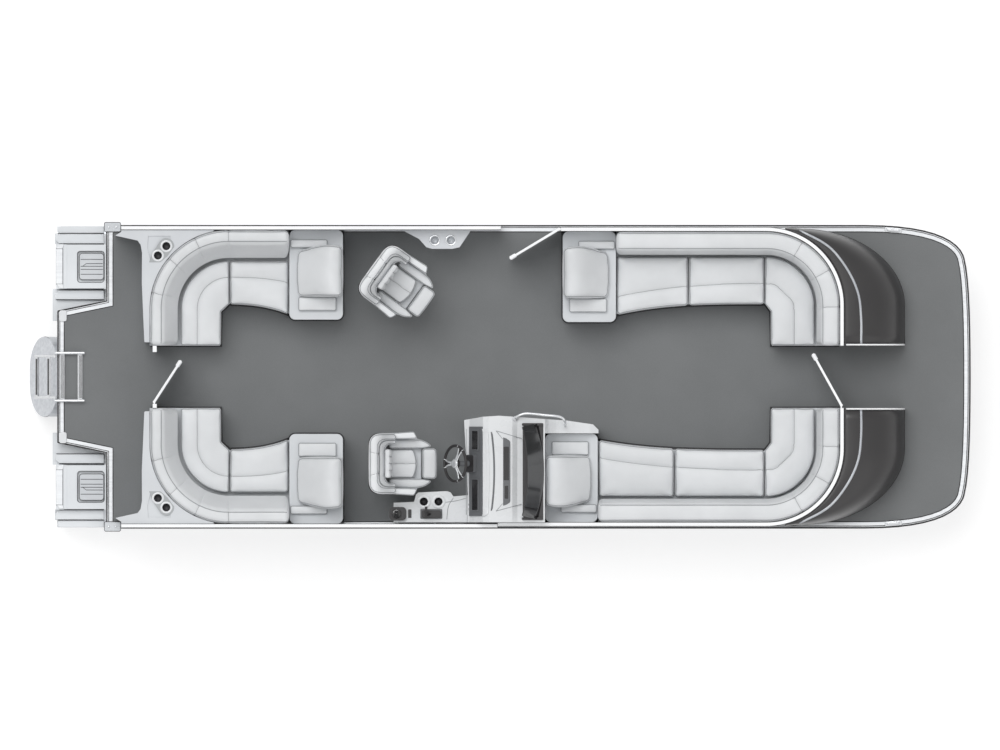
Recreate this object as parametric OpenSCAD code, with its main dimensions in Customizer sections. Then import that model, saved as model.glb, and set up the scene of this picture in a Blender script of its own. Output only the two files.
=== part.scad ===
// Pontoon boat on three tubes, with fences and gates around its deck, a lounge in each
// corner, a helm console, two swivel chairs and a folding boarding ladder.
// X runs from stern to bow, Y to port and Z up. The tubes stand on Z = 0.

/* [Hull] */
// Length over everything, from the centre tube's aft tip to the bow edge of the deck
boat_len = 9410; // [9000:10:11400]
// Width of the deck over its edge trim
beam = 3038; // [2900:2:3650]
// Diameter of the outer tubes and height of the centre tube
tube_d = 660; // [560:2:664]
// Width of the centre tube
center_w = 800; // [680:2:900]
// Distance of an outer tube's axis from the centre line
tube_y = 1103; // [1050:1:1140]
// Length of the upswept nose of each tube
nose_len = 1300; // [900:10:1800]
// Height of the floor above the tubes' undersides
deck_h = 825; // [825:1:1000]

/* [Deck] */
// Thickness of the floor panel
deck_t = 25; // [18:1:40]
// Width of the trim band around the floor
trim_w = 70; // [50:1:80]
// Depth of the trim band, down from the floor
trim_h = 120; // [90:1:140]
// Length of the boarding platform behind the stern edge
platform_len = 488; // [400:1:600]
// Half width of the boarding platform at its aft edge
platform_half = 665; // [600:1:760]
// Spacing of the cross members under the floor
member_gap = 406; // [300:1:610]

/* [Fences and gates] */
// Height of the fences above the floor
fence_h = 735; // [600:1:880]
// Width of the square fence rails
rail_w = 40; // [30:1:45]
// Radius of the bow lounges' corners, at the fence's inner face
bow_r = 740; // [610:1:800]
// Radius of the stern lounges' corners
stern_r = 792; // [680:1:850]
// Half width of the walkway between the lounges
walk_half = 311; // [290:1:360]
// Thickness of a gate
gate_t = 24; // [18:1:28]
// Clear width of the side gate's opening
side_gate_w = 600; // [540:1:680]

/* [Seats] */
// Height of the seat cushions above the floor
seat_h = 430; // [380:1:520]
// Thickness of the seat cushions
cushion_t = 130; // [90:1:160]
// Height of the backrests above the floor
back_h = 760; // [680:1:860]
// Wall thickness of the hollow seat bases
base_wall = 20; // [12:1:30]
// Height of the lounger modules' shells above the floor
lounger_h = 470; // [430:1:540]
// Height of the swivel chairs' seats above the floor
chair_h = 570; // [569:1:640]

/* [Helm] */
// Height of the helm console above the floor
console_h = 900; // [820:1:1000]
// Height of the side console above the floor
side_console_h = 440; // [380:1:440]
// Diameter of the steering wheel
wheel_d = 385; // [320:1:390]
// Diameter of the cup holders' wells
cup_d = 92; // [80:1:100]

/* [Ladder and engine mounts] */
// Distance between the ladder's rails, centre to centre
ladder_w = 476; // [400:1:520]
// Diameter of the ladder's tubes
ladder_tube = 28; // [22:1:32]
// Diameter of the outboard bolt holes
bolt_d = 13; // [12.5:0.1:14]
// Distance between the two upper bolts of an outboard
bolt_upper = 327.2; // [320:0.1:330]
// Distance between the two lower bolts of an outboard
bolt_lower = 250.8; // [245:0.1:260]
// Height between the upper and the lower bolts
bolt_rise = 203.2; // [200:0.1:210]

/* [Hidden] */
$fn = 64;

white = [0.93, 0.94, 0.95];
vinyl = [0.84, 0.85, 0.86];
metal = [0.80, 0.81, 0.83];
floor_grey = [0.46, 0.47, 0.47];
plinth_grey = [0.70, 0.71, 0.72];
gloss_black = [0.13, 0.12, 0.13];
dark_grey = [0.30, 0.31, 0.32];

gap = 0.3;              // clearance between pieces that sit against each other
clear = 6;              // clearance beside anything that moves
half = beam / 2;
x_bow = boat_len / 2;
x_stern = -boat_len / 2 + 762;    // aft edge of the deck beside the platform
x_platform = x_stern - platform_len;
fore = x_bow - 4705;    // the bow and helm pieces move with the bow
aft = x_stern + 3943;   // the stern pieces move with the stern
wall_fore = half - 64;  // inner faces of the bow and the aft fences
wall_aft = half - 49;
notch_half = platform_half + 100;
tube_r = tube_d / 2;
tube_aft = x_platform - 22;
pod_end = tube_aft + 123;           // where the outer tubes begin, forward of the transoms
nose_x = x_bow - 145 - nose_len;  // where the noses begin
member_top = deck_h - deck_t;
member_h = 80;
riser_top = member_top - member_h;
seat_z = deck_h + seat_h;
base_z = seat_z - cushion_t;
back_z = deck_h + back_h;
lounger_z = deck_h + lounger_h;
fence_top = deck_h + fence_h;
chair_axis = [fore - 1003, -868];       // the captain's chair and the mate's chair
mate_axis = [fore - 1028, half - 592];
mate_turn = -36;
gate_low = deck_h + 62;
gate_high = fence_top - 35;
bow_corner = 2657;      // where the bow lounges and fences begin to turn inboard
stern_corner = 2715;
stern_reach = stern_corner + stern_r;
bow_gate_axis = [fore + bow_corner + bow_r + 13, -walk_half + 28];
side_gate_axis = [fore + 587, wall_fore + 22];
stern_gate_axis = [aft - stern_reach + 46, -walk_half + 61];

// A lounge: [start, corner x, corner radius, inner edge, wall, joints, front depth, swell,
// swell power, backrest depth at its top, at the seat, shell start, shell depth, x sign, side]
port_bow = [1157, bow_corner, bow_r, 2702, wall_fore, [1157, 1882, 2644], 732, 111, 3.2,
    190, 242, 624, 908, 1, 1];
starboard_bow = [975, bow_corner, bow_r, 2702, wall_fore, [975, 1741, 2644], 727, 102, 3.2,
    190, 242, 448, 887, 1, -1];
port_stern = [2110, stern_corner, stern_r, 2789, wall_aft, [2110, 2709], 750, 104, 2.4,
    130, 302, 1573, 899, -1, 1];
starboard_stern = [2110, stern_corner, stern_r, 2789, wall_aft, [2110, 2709], 750, 104, 2.4,
    130, 302, 1573, 899, -1, -1];

function leg_end(s) = s[4] - walk_half;             // depth of the lounge's free end
function front(s, x) = s[6] + s[7] * pow(max(0, s[5][len(s[5]) - 1] - x)
    / (s[5][len(s[5]) - 1] - s[0]), s[8]);
function front_line(s, from, to, inset) = [for (i = [0:8]) let (x = from + (to - from) * i / 8)
    [x, front(s, x) - inset]];
function arc(c, r, from, to, n) = [for (i = [0:n]) let (a = from + (to - from) * i / n)
    [c[0] + r * cos(a), c[1] + r * sin(a)]];
function bezier(a, b, c, d, n) = [for (i = [0:n]) let (t = i / n, s = 1 - t)
    s * s * s * a + 3 * s * s * t * b + 3 * s * t * t * c + t * t * t * d];
function flipped(points) = [for (i = [len(points) - 1:-1:0]) [points[i][0], -points[i][1]]];

// Puts a piece drawn as [distance along, depth inboard of the wall] in its place on one side
module at_wall(s) {
    translate([s[13] > 0 ? fore : aft, s[14] * s[4], 0])
        mirror([s[13] > 0 ? 0 : 1, 0, 0]) mirror([0, s[14] > 0 ? 1 : 0, 0]) children();
}

// Sweeps a section drawn as [depth, height] along the wall, round the corner and inboard
module along_wall(start, corner, r, end) {
    translate([start, 0, 0]) rotate([90, 0, 90]) linear_extrude(corner - start) children();
    translate([corner, r, 0]) rotate([0, 0, -90]) rotate_extrude(angle = 90, $fn = 96)
        translate([r, 0]) mirror([1, 0]) children();
    translate([corner + r, r, 0]) rotate([90, 0, 180]) linear_extrude(end - r) children();
}

module block(from, to) translate(from) cube(to - from);

module rounded_plate(from, to, r) {
    for (a = [0, 1]) translate([from[0] + a * r, from[1] + (1 - a) * r])
        square([to[0] - from[0] - 2 * a * r, to[1] - from[1] - 2 * (1 - a) * r]);
    for (x = [from[0] + r, to[0] - r]) for (y = [from[1] + r, to[1] - r])
        translate([x, y]) circle(r);
}

module rounded_block(from, to, r) {
    translate([0, 0, from[2]]) linear_extrude(to[2] - from[2]) rounded_plate(from, to, r);
}

module rod(from, to, d) {
    v = to - from;
    translate(from) rotate([0, acos(v[2] / norm(v)), atan2(v[1], v[0])])
        cylinder(h = norm(v), d = d, $fn = 24);
}

// ---------- hull ----------

// The upswept nose of a tube: ellipses that narrow and rise towards the tip
module nose(w) {
    steps = 10;
    hull() for (i = [0:steps]) {
        s = i / steps;
        wide = w * sqrt(1 - 0.985 * pow(s, 2.2));
        low = tube_d * 0.62 * pow(s, 2.2);
        high = tube_d * (1 - 0.14 * pow(s, 2.5));
        translate([nose_x + nose_len * s, 0, (low + high) / 2]) rotate([90, 0, 90])
            linear_extrude(2) scale([wide / 2, (high - low) / 2]) circle(1, $fn = 32);
    }
}

// A triangular lifting strake along the tube's lower flank
module strake(side, from, to) {
    translate([from, 0, 0]) rotate([90, 0, 90]) linear_extrude(to - from)
        polygon([[side * tube_r * 0.80, 150], [side * (tube_r + 72), 238],
            [side * (tube_r + 72), 246], [side * tube_r * 0.93, 262]]);
}

module outer_pontoon(side) {
    color(metal) translate([0, side * tube_y, 0]) {
        translate([pod_end, 0, tube_r]) rotate([0, 90, 0])
            cylinder(h = nose_x + 3 - pod_end, r = tube_r, $fn = 96);
        for (flank = [-1, 1]) strake(flank, pod_end, nose_x);
        nose(tube_d);
    }
}
module port_pontoon() outer_pontoon(1);
module starboard_pontoon() outer_pontoon(-1);

module center_section() {
    flat = center_w - tube_d;
    translate([0, tube_r]) {
        translate([-flat / 2, -tube_r]) square([flat, tube_d]);
        for (y = [-flat / 2, flat / 2]) translate([y, 0]) circle(tube_r, $fn = 96);
    }
}

module center_pontoon() {
    color(metal) {
        difference() {
            translate([-boat_len / 2, 0, 0]) rotate([90, 0, 90])
                linear_extrude(nose_x + 3 + boat_len / 2) center_section();
            // the aft end leans forward, from the keel's tip up to the platform
            translate([-boat_len / 2, center_w, 0]) rotate([90, 0, 0]) linear_extrude(2 * center_w)
                polygon([[0, 0], [tube_d * 0.427, tube_d], [tube_d * 0.427, tube_d + 1],
                    [-1, tube_d + 1], [-1, 0]]);
        }
        nose(center_w);
    }
}

module riser(y, w) {
    from = x_stern + trim_w + 5;
    translate([from, y, 0]) rotate([90, 0, 90]) linear_extrude(nose_x - 20 - from)
        polygon([[-w, riser_top], [w, riser_top], [w, riser_top - 8], [w / 2, riser_top - 8],
            [w / 2, tube_r], [w / 2 - 8, tube_r], [w / 2 - 8, riser_top - 8],
            [8 - w / 2, riser_top - 8], [8 - w / 2, tube_r], [-w / 2, tube_r],
            [-w / 2, riser_top - 8], [-w, riser_top - 8]]);
}

module tube_risers() {
    color(metal) difference() {
        for (y = [-tube_y, 0, tube_y]) riser(y, 110);
        for (y = [-tube_y, tube_y]) translate([x_stern, y, tube_r]) rotate([0, 90, 0])
            cylinder(h = boat_len, r = tube_r + gap, $fn = 96);
        translate([x_stern, 0, 0]) rotate([90, 0, 90]) linear_extrude(boat_len) {
            translate([tube_d / 2 - center_w / 2, tube_r]) circle(tube_r + gap, $fn = 96);
            translate([center_w / 2 - tube_d / 2, tube_r]) circle(tube_r + gap, $fn = 96);
            translate([-(center_w - tube_d) / 2, 0]) square([center_w - tube_d, tube_d + gap]);
        }
    }
}

module cross_members() {
    // C-shaped beams across the deck, narrower where the bow curves in
    count = floor((x_bow - 470 - x_stern - 120) / member_gap);
    color(metal) {
        for (i = [0:count]) {
            x = x_stern + 120 + i * member_gap;
            reach = half - trim_w - 4 - (x > x_bow - 1000 ? 110 : 0) - (x > x_bow - 600 ? 60 : 0);
            translate([x, reach, riser_top]) rotate([90, 0, 0]) linear_extrude(2 * reach)
                polygon([[0, 0], [50, 0], [50, 5], [5, 5], [5, member_h - 5], [50, member_h - 5],
                    [50, member_h], [0, member_h]]);
        }
    }
}

// The platform's beam, and two bearers that carry it from the first cross member
module platform_frame() {
    reach = platform_half - 60;
    color(metal) {
        block([x_platform + 110, -reach, riser_top], [x_platform + 160, reach, member_top]);
        for (y = [-400, 400]) block([x_platform + 159, y - 25, riser_top],
            [x_stern + 120 - gap, y + 25, member_top]);
    }
}

function deck_side() = concat([[x_platform, platform_half], [x_platform + 8, platform_half],
    [x_stern, notch_half], [x_stern, half]],
    bezier([x_bow - 1055, half], [x_bow - 455, half], [x_bow - 145, half - 119],
        [x_bow - 70, half - 304], 10),
    bezier([x_bow - 60, half - 340], [x_bow - 15, half - 519], [x_bow, half - 900],
        [x_bow, 0], 7));
module deck_outline() polygon(concat(deck_side(), flipped(deck_side())));

module deck() {
    color(floor_grey) translate([0, 0, member_top]) linear_extrude(deck_t)
        offset(delta = -trim_w) deck_outline();
}

module deck_trim() {
    bead = 25;   // the rub rail stands outside the flat band
    color(metal) {
        translate([0, 0, deck_h - trim_h]) linear_extrude(trim_h) difference() {
            offset(delta = -bead) deck_outline();
            offset(delta = -trim_w) deck_outline();
        }
        translate([0, 0, deck_h - trim_h + 20]) linear_extrude(trim_h - 30) difference() {
            deck_outline();
            offset(delta = -bead - 1) deck_outline();
        }
    }
}

module engine_pod(side) {
    top = deck_h - 80;          // the transom's upper edge
    box_w = 450;
    plate = 73;                 // thickness of the transom
    fwd = x_stern - gap;
    back = tube_aft + 10;
    well = pod_end - gap;
    bolt_z = top - 50;
    color(metal) translate([0, side * tube_y, 0]) difference() {
        union() {
            block([back, -box_w / 2, 150], [back + plate, box_w / 2, top]);
            block([back + plate - 1, -box_w / 2, 300], [well, box_w / 2, top]);
            block([well - 1, -box_w / 2, tube_r], [fwd, box_w / 2, top]);
            // the tube's shape carried on to both sides of the transom
            difference() {
                union() {
                    translate([tube_aft, 0, tube_r]) rotate([0, 90, 0])
                        cylinder(h = well - tube_aft, r = tube_r, $fn = 96);
                    for (flank = [-1, 1]) strake(flank, tube_aft + 22, well);
                }
                block([tube_aft - 1, 1 - box_w / 2, -1], [well + 1, box_w / 2 - 1, tube_d + 1]);
            }
            // the flat wing on the inboard side
            mirror([0, side > 0 ? 1 : 0, 0]) {
                block([x_platform - 46, box_w / 2 - 1, tube_r + 270],
                    [fwd, tube_y - platform_half + 107, tube_r + 295]);
                block([x_platform - 46, tube_y - platform_half + 95, tube_r + 150],
                    [fwd, tube_y - platform_half + 107, tube_r + 271]);
            }
        }
        // the space behind the transom that the bolts' nuts are reached from
        block([back + plate, -box_w / 2 + 14, 330], [well - 12, box_w / 2 - 14, top + 1]);
        // the tube under the pod
        translate([pod_end, 0, tube_r]) rotate([0, 90, 0])
            cylinder(h = 700, r = tube_r + gap, $fn = 96);
        // the grooved splash tray
        rounded_block([x_platform + 198, -155, top - 30], [fwd - 12, 155, top + 1], 30);
        for (y = [-120:40:120])
            block([x_platform + 230, y - 8, top - 42], [fwd - 40, y + 8, top - 29]);
        // two upper and two lower bolt holes
        for (y = [-1, 1]) {
            translate([back - 1, y * bolt_upper / 2, bolt_z]) rotate([0, 90, 0])
                cylinder(h = plate + 2, d = bolt_d);
            translate([back - 1, y * bolt_lower / 2, bolt_z - bolt_rise]) rotate([0, 90, 0])
                cylinder(h = plate + 2, d = bolt_d);
        }
    }
}
module port_engine_pod() engine_pod(1);
module starboard_engine_pod() engine_pod(-1);

module stern_corner_caps() {
    color(white) for (side = [-1, 1]) mirror([0, side > 0 ? 0 : 1, 0]) difference() {
        rounded_block([x_stern - 20, half - 66, deck_h - 110], [x_stern + 149, half + 29,
            deck_h + 14], 18);
        block([x_stern - gap, half - 80, deck_h - 130], [x_stern + 150, half + gap,
            deck_h + gap]);
    }
}

module bow_lights() {
    color(metal) for (side = [-1, 1]) translate([fore + 3930, side * (half - 53), deck_h])
        rotate([0, 0, -side * 5]) {
            translate([0, 0, 6]) rotate([0, 0, 0]) {
                rounded_block([-87, -24, -6], [87, 24, 8], 22);
                rounded_block([-60, -12, 7], [60, 12, 44], 11);
            }
        }
}

// ---------- fences, gates and bow fairings ----------

// A fence's section, as [depth from the inner face, height]: top rail, panel and bottom rail
module fence_section() {
    translate([-rail_w, fence_top - rail_w]) square([rail_w, rail_w]);
    translate([-rail_w / 2 - 2, deck_h + 34]) square([4, fence_h - rail_w - 33]);
    translate([-rail_w, deck_h]) square([rail_w, 35]);
}

module fence_post(x) block([x, -rail_w, deck_h + 34], [x + rail_w, 0, fence_top - rail_w + 1]);

module bow_fence(s, from) {
    end = leg_end(s);
    reach = s[1] + s[2];
    color(white) at_wall(s) {
        along_wall(from, s[1], s[2], end) fence_section();
        for (x = [from, (from + s[1]) / 2]) fence_post(x);
        block([reach, end - rail_w, deck_h + 34], [reach + rail_w, end, fence_top - 1]);
    }
}

// Top and bottom knuckles of a gate hinge; the arm runs from the axis towards the post
module knuckles(axis, arm) {
    for (z = [[deck_h + 34, gate_low - gap], [gate_high + gap, fence_top - 6]]) color(white) {
        translate([axis[0], axis[1], z[0]]) cylinder(h = z[1] - z[0], d = gate_t + 4);
        translate([axis[0], axis[1], z[0]]) rotate([0, 0, atan2(arm[1], arm[0])])
            translate([0, -7, 0]) cube([norm(arm), 14, z[1] - z[0]]);
    }
}

module port_bow_fence() {
    bow_fence(port_bow, 607);
    knuckles(side_gate_axis, [21, 0]);
}
module starboard_bow_fence() {
    bow_fence(starboard_bow, -26);
    knuckles(bow_gate_axis, [0, -29]);
}

module aft_fence(s, to) {
    start = aft - x_stern - 150;    // the end at the stern cap, measured towards the stern
    color(white) at_wall(s) {
        translate([-to, 0, 0]) rotate([90, 0, 90]) linear_extrude(start + to) fence_section();
        for (i = [0:3]) fence_post(-to + i * (start + to - rail_w) / 3);
    }
}
module port_aft_fence() aft_fence(port_stern, fore - aft + 607 - side_gate_w);
module starboard_aft_fence() aft_fence(starboard_stern, fore - aft - 26 - gap);

module stern_gate_posts() {
    color(white) {
        from = aft - stern_reach + 31;
        block([from, walk_half - 63, deck_h], [from + 40, walk_half, fence_top]);
        block([from, -walk_half, deck_h], [from + 40, -walk_half + 40, fence_top]);
    }
    knuckles(stern_gate_axis, [0, -22]);
}

// A gate drawn along X from its hinge: two stiles, two rails, a panel and a latch
module gate(axis, turn, length) {
    t = gate_t / 2;
    tall = gate_high - gate_low;
    translate([axis[0], axis[1], gate_low]) rotate([0, 0, turn]) {
        color(white) {
            cylinder(h = tall, d = gate_t);
            for (x = [0, length - 30]) block([x, -t, 0], [x + 30, t, tall]);
            for (z = [0, tall - 30]) block([0, -t, z], [length, t, z + 30]);
            block([20, -2, 20], [length - 20, 2, tall - 20]);
        }
        color(dark_grey) block([length - 70, -t - 9, tall - 75], [length - 8, t + 9, tall - 45]);
    }
}
module bow_gate() gate(bow_gate_axis, 119, 2 * walk_half - 28 - clear);
module port_gate() gate(side_gate_axis, 211, side_gate_w - 20 - clear);
module stern_gate() gate(stern_gate_axis, 57, 2 * walk_half - 61 - 63 - clear);

// A glossy fairing that falls from the bow fence to the floor in a quarter ellipse
module bow_fairing(side) {
    top = fence_top - 30;
    inner = bow_r + rail_w + gap;
    center = wall_fore - bow_r;
    levels = 7;
    reach = 1032;
    toe = bow_corner + 351;
    color(gloss_black) translate([fore, 0, 0]) mirror([0, side > 0 ? 0 : 1, 0]) difference() {
        hull() for (i = [0:levels]) {
            a = 90 * i / levels;
            s = sin(a);
            z = deck_h + gap + (top - deck_h - 2) * pow(cos(a), 0.75);
            ring = [for (k = [0:14]) let (f = 90 * k / 14)
                [(bow_corner + (inner + 20) * cos(f)) * (1 - s) + (toe + reach * cos(f)) * s,
                (center + inner * sin(f)) * (1 - s) + (center + (inner - 18) * sin(f)) * s]];
            translate([0, 0, z]) linear_extrude(1) polygon(concat([[bow_corner, walk_half + 12]],
                [[ring[0][0], walk_half + 12]], ring, [[bow_corner, center + inner]]));
        }
        translate([bow_corner, center, deck_h - 1]) cylinder(h = fence_h + 9, r = inner, $fn = 96);
        block([2000, 0, deck_h - 1], [bow_corner + inner, center, fence_top]);
        block([2000, 0, deck_h - 1], [bow_corner + 193, half, fence_top]);
    }
}
module port_bow_fairing() bow_fairing(1);
module starboard_bow_fairing() bow_fairing(-1);

// ---------- lounges ----------

// The moulded shell behind a stern lounge, with a tray and two cup holders in its top
module stern_shell(s) {
    reach = s[1] + s[2];
    end = leg_end(s) - 34;
    top = back_z - 40;
    color(plinth_grey) at_wall(s) difference() {
        translate([0, 0, deck_h]) linear_extrude(top - deck_h) difference() {
            polygon([[2864, gap], [reach + 283, gap], [reach + 283, 20], [reach + 344, 58],
                [reach + 120, 108], [reach + 90, 150], [reach + 76, 230], [reach + 78, 532],
                [reach + 53, end - 8], [reach + 45, end], [reach, end], [reach, s[2]],
                [2864, s[2]]]);
            translate([s[1], s[2]]) circle(s[2] + gap, $fn = 96);
            translate([0, s[2]]) square([reach + gap, 2000]);
        }
        // the tray
        translate([0, 0, top - 12]) linear_extrude(13) polygon([[reach - 207, 62],
            [reach + 13, 62], [reach + 23, 180], [reach - 7, 300], [reach - 67, 300],
            [reach - 217, 150]]);
        for (c = [[reach - 167, 163], [reach - 83, 257]]) translate([c[0], c[1], top - 85])
            cylinder(h = 90, d = cup_d);
    }
}
module port_stern_shell() stern_shell(port_stern);
module starboard_stern_shell() stern_shell(starboard_stern);

// Where the lids of a lounge begin and end
function lid_from(s, i) = s[5][i] + (i == 0 ? clear : clear / 2);
function lid_to(s, i) = s[5][i + 1] - clear / 2;
function corner_start(s) = s[5][len(s[5]) - 1];

module lounge_outline(s, depth, inset) {
    polygon(concat([[s[0] + gap, depth]], arc([s[1], s[2]], s[2] - depth, -90, 0, 16),
        [[s[1] + s[2] - depth, leg_end(s) - gap], [s[3] + inset, leg_end(s) - gap],
        [s[3] + inset, s[6] + 76 - inset / 2]],
        front_line(s, corner_start(s) - inset / 2, s[0] + gap, inset)));
}

module lounge_base(s) {
    back = s[10] + base_wall;   // the backrest stands on the base up to here
    color(plinth_grey) at_wall(s) {
        difference() {
            translate([0, 0, deck_h]) linear_extrude(base_z - deck_h) lounge_outline(s, gap, 15);
            for (i = [0:len(s[5]) - 2]) {
                from = lid_from(s, i) + base_wall;
                to = lid_to(s, i) - base_wall;
                translate([0, 0, deck_h + base_wall]) linear_extrude(base_z - deck_h)
                    polygon(concat([[to, back], [from, back]],
                        front_line(s, from, to, 15 + base_wall)));
            }
        }
        rounded_block([s[11], gap, deck_h], [s[0] - gap, s[12], lounger_z], 60);
    }
}
module port_bow_base() lounge_base(port_bow);
module starboard_bow_base() lounge_base(starboard_bow);
module port_stern_base() lounge_base(port_stern);
module starboard_stern_base() lounge_base(starboard_stern);

// The fixed cushions: backrest, corner seat, and the lounger module's raked back and pads
module lounge_cushions(s) {
    z = base_z + gap;
    foot = s[9];
    back = s[10];
    color(vinyl) at_wall(s) {
        along_wall(s[0] + gap, s[1], s[2], leg_end(s)) polygon([[gap, z], [back, z],
            [back, seat_z], [foot, back_z - 15], [foot - 15, back_z], [20, back_z],
            [gap, back_z - 20]]);
        translate([0, 0, z]) linear_extrude(cushion_t - gap) polygon(concat(
            [[corner_start(s) + clear / 2, back + 8]],
            arc([s[1], s[2]], s[2] - back - 8, -90, 0, 12),
            [[s[1] + s[2] - back - 8, leg_end(s) - gap], [s[3], leg_end(s) - gap],
            [s[3], s[6] + 72], [corner_start(s) + clear / 2, s[6]]]));
        lounger_cushions(s, lounger_z + gap);
    }
}

module lounger_cushions(s, z) {
    deep = 460;
    from = s[11] + 5;
    span = [186, 666];
    translate([0, span[1], z]) rotate([90, 0, 0]) linear_extrude(span[1] - span[0])
        polygon([[from, 0], [from + deep, 0], [from + deep - 30, 60], [from + 170, 300],
            [from + 130, 325], [from + 50, 325], [from, 270]]);
    rounded_block([from + 150, 95, z], [s[0] - 10, span[0] - 5, z + 45], 25);
    rounded_block([from + 60, span[1] + 5, z], [s[0] - 90, 811, z + 45], 25);
}
module port_bow_cushions() lounge_cushions(port_bow);
module starboard_bow_cushions() lounge_cushions(starboard_bow);
module port_stern_cushions() lounge_cushions(port_stern);
module starboard_stern_cushions() lounge_cushions(starboard_stern);

// A seat cushion that lifts on the hinge line along its back
module lounge_lid(s, i) {
    from = lid_from(s, i);
    to = lid_to(s, i);
    back = s[10] + 8;
    color(vinyl) at_wall(s) translate([0, 0, base_z + gap]) linear_extrude(cushion_t - gap)
        polygon(concat([[to, back], [from, back]], front_line(s, from, to, 0)));
}
module port_bow_lid_aft() lounge_lid(port_bow, 0);
module port_bow_lid_mid() lounge_lid(port_bow, 1);
module starboard_bow_lid_aft() lounge_lid(starboard_bow, 0);
module starboard_bow_lid_mid() lounge_lid(starboard_bow, 1);
module port_stern_lid() lounge_lid(port_stern, 0);
module starboard_stern_lid() lounge_lid(starboard_stern, 0);

// ---------- helm ----------

dash_tilt = 53.2;           // slope of the dash, up from level
dash_foot = [-308, console_h - 210];
dash_len = 227;
column_at = 43;             // where the steering column leaves the dash, up its slope
column_len = 209;           // from the dash's face to the centre of the wheel
wheel_depth = wall_fore - 868;
wheel_center = [fore + dash_foot[0] + column_at * cos(dash_tilt) - column_len * sin(dash_tilt),
    -868, deck_h + dash_foot[1] + column_at * sin(dash_tilt) + column_len * cos(dash_tilt)];

// Puts a piece drawn on the dash's face, as [up the slope, depth inboard, out], in its place
module on_dash() {
    at_wall(starboard_bow) translate([dash_foot[0], 0, deck_h + dash_foot[1]])
        rotate([0, -dash_tilt, 0]) children();
}

module console_body() {
    head = [dash_foot[0] + dash_len * cos(dash_tilt), dash_foot[1] + dash_len * sin(dash_tilt)];
    inboard = wall_fore - 400;
    color(white) at_wall(starboard_bow) {
        intersection() {
            translate([0, 0, deck_h]) linear_extrude(console_h + 10) polygon([[-324, gap],
                [-324, 280], [-362, inboard - 33], [-178, inboard], [-15, inboard + 11],
                [148, inboard], [446, inboard - 22], [446, gap]]);
            translate([0, 2 * half, deck_h]) rotate([90, 0, 0]) linear_extrude(2 * half)
                polygon([[-380, 0], [-380, dash_foot[1] - 40], dash_foot, head,
                    [-113, console_h], [120, console_h], [170, console_h - 20],
                    [447, console_h - 20], [447, 0]]);
        }
        // the low wing that runs forward beside the lounger
        intersection() {
            translate([0, 0, deck_h]) linear_extrude(console_h) polygon([[445, 890],
                [445, inboard - 22], [668, inboard - 38], [928, inboard - 76],
                [982, inboard - 130], [982, 890]]);
            translate([0, 2 * half, deck_h]) rotate([90, 0, 0]) linear_extrude(2 * half)
                polygon([[440, 0], [440, 760], [480, 680], [560, 630], [900, 560], [982, 520],
                    [982, 0]]);
        }
    }
}

module dash_panel() {
    plate = 12;
    color(dark_grey) on_dash() {
        block([8, 63, gap], [dash_len - 6, 957, plate]);
        // two instrument panels
        rounded_block([70, 730, plate - 1], [165, 914, plate + 7], 10);
        rounded_block([62, 123, plate - 1], [172, 426, plate + 7], 10);
        // the cowl and the steering column
        rounded_block([1, wheel_depth - 89, plate - 1], [131, wheel_depth + 89, plate + 34], 20);
        translate([column_at, wheel_depth, plate]) cylinder(h = column_len - 37.5, d = 56);
    }
}

module steering_wheel() {
    grip = 28;
    rim_r = (wheel_d - grip) / 2;
    color(gloss_black) on_dash() translate([column_at, wheel_depth, column_len]) {
        rotate_extrude($fn = 96) translate([rim_r, 0]) circle(d = grip, $fn = 32);
        translate([0, 0, -25]) cylinder(h = 40, d = 90);
        for (a = [60, 180, 300]) rotate([0, 0, a])
            block([30, -14, -12], [rim_r - 6, 14, -4]);
    }
}

module windscreen() {
    foot_r = 2000;
    half_w = 484;
    tall = 320;
    lean = 160;
    sheet = 8;
    turn = asin(half_w / foot_r);
    color(gloss_black) at_wall(starboard_bow)
        translate([438 - foot_r, wall_fore - 946, deck_h + console_h - 20 + gap])
            rotate([0, 0, -turn]) rotate_extrude(angle = 2 * turn, $fn = 360)
                polygon([[foot_r - sheet, 0], [foot_r, 0], [foot_r - lean, tall],
                    [foot_r - lean - sheet, tall]]);
}

module console_grab_rail() {
    tube = 27;
    inboard = wall_fore - 400;
    top = console_h;
    points = [[150, inboard - 16, top + 3], [160, inboard, top + 30],
        [256, inboard + 32, top + 45], [592, inboard, top + 35], [646, inboard - 43, top - 10],
        [650, inboard - 92, top - 274]];
    color(metal) at_wall(starboard_bow) translate([0, 0, deck_h]) {
        for (i = [0:len(points) - 2]) for (k = [0, 0.5]) hull() for (m = [k, k + 0.5])
            translate(points[i] * (1 - m) + points[i + 1] * m) sphere(d = tube, $fn = 20);
    }
}

module side_console() {
    color(plinth_grey) at_wall(starboard_bow) difference() {
        translate([0, 0, deck_h]) linear_extrude(side_console_h) polygon([[-1067, gap],
            [-1067, 196], [-862, 205], [-844, 277], [-817, 299], [-532, 312], [-496, 299],
            [-469, 259], [-326, 272], [-326, gap]]);
        for (x = [-765, -618]) translate([x, 207, deck_h + side_console_h - 80])
            cylinder(h = 81, d = cup_d);
    }
}

module throttle() {
    top = deck_h + side_console_h + gap;
    color(gloss_black) at_wall(starboard_bow) {
        rounded_block([-786, 44, top], [-594, 120, top + 40], 20);
        rod([-700, 82, top + 30], [-742, 82, top + 130], 20);
        rod([-742, 70, top + 130], [-742, 158, top + 130], 26);
        // the round unit at the side console's aft end
        rounded_block([-1110, 20, top], [-940, 153, top + 40], 40);
        translate([-1036, 86, top + 39]) cylinder(h = 12, d = 98);
    }
}

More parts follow.
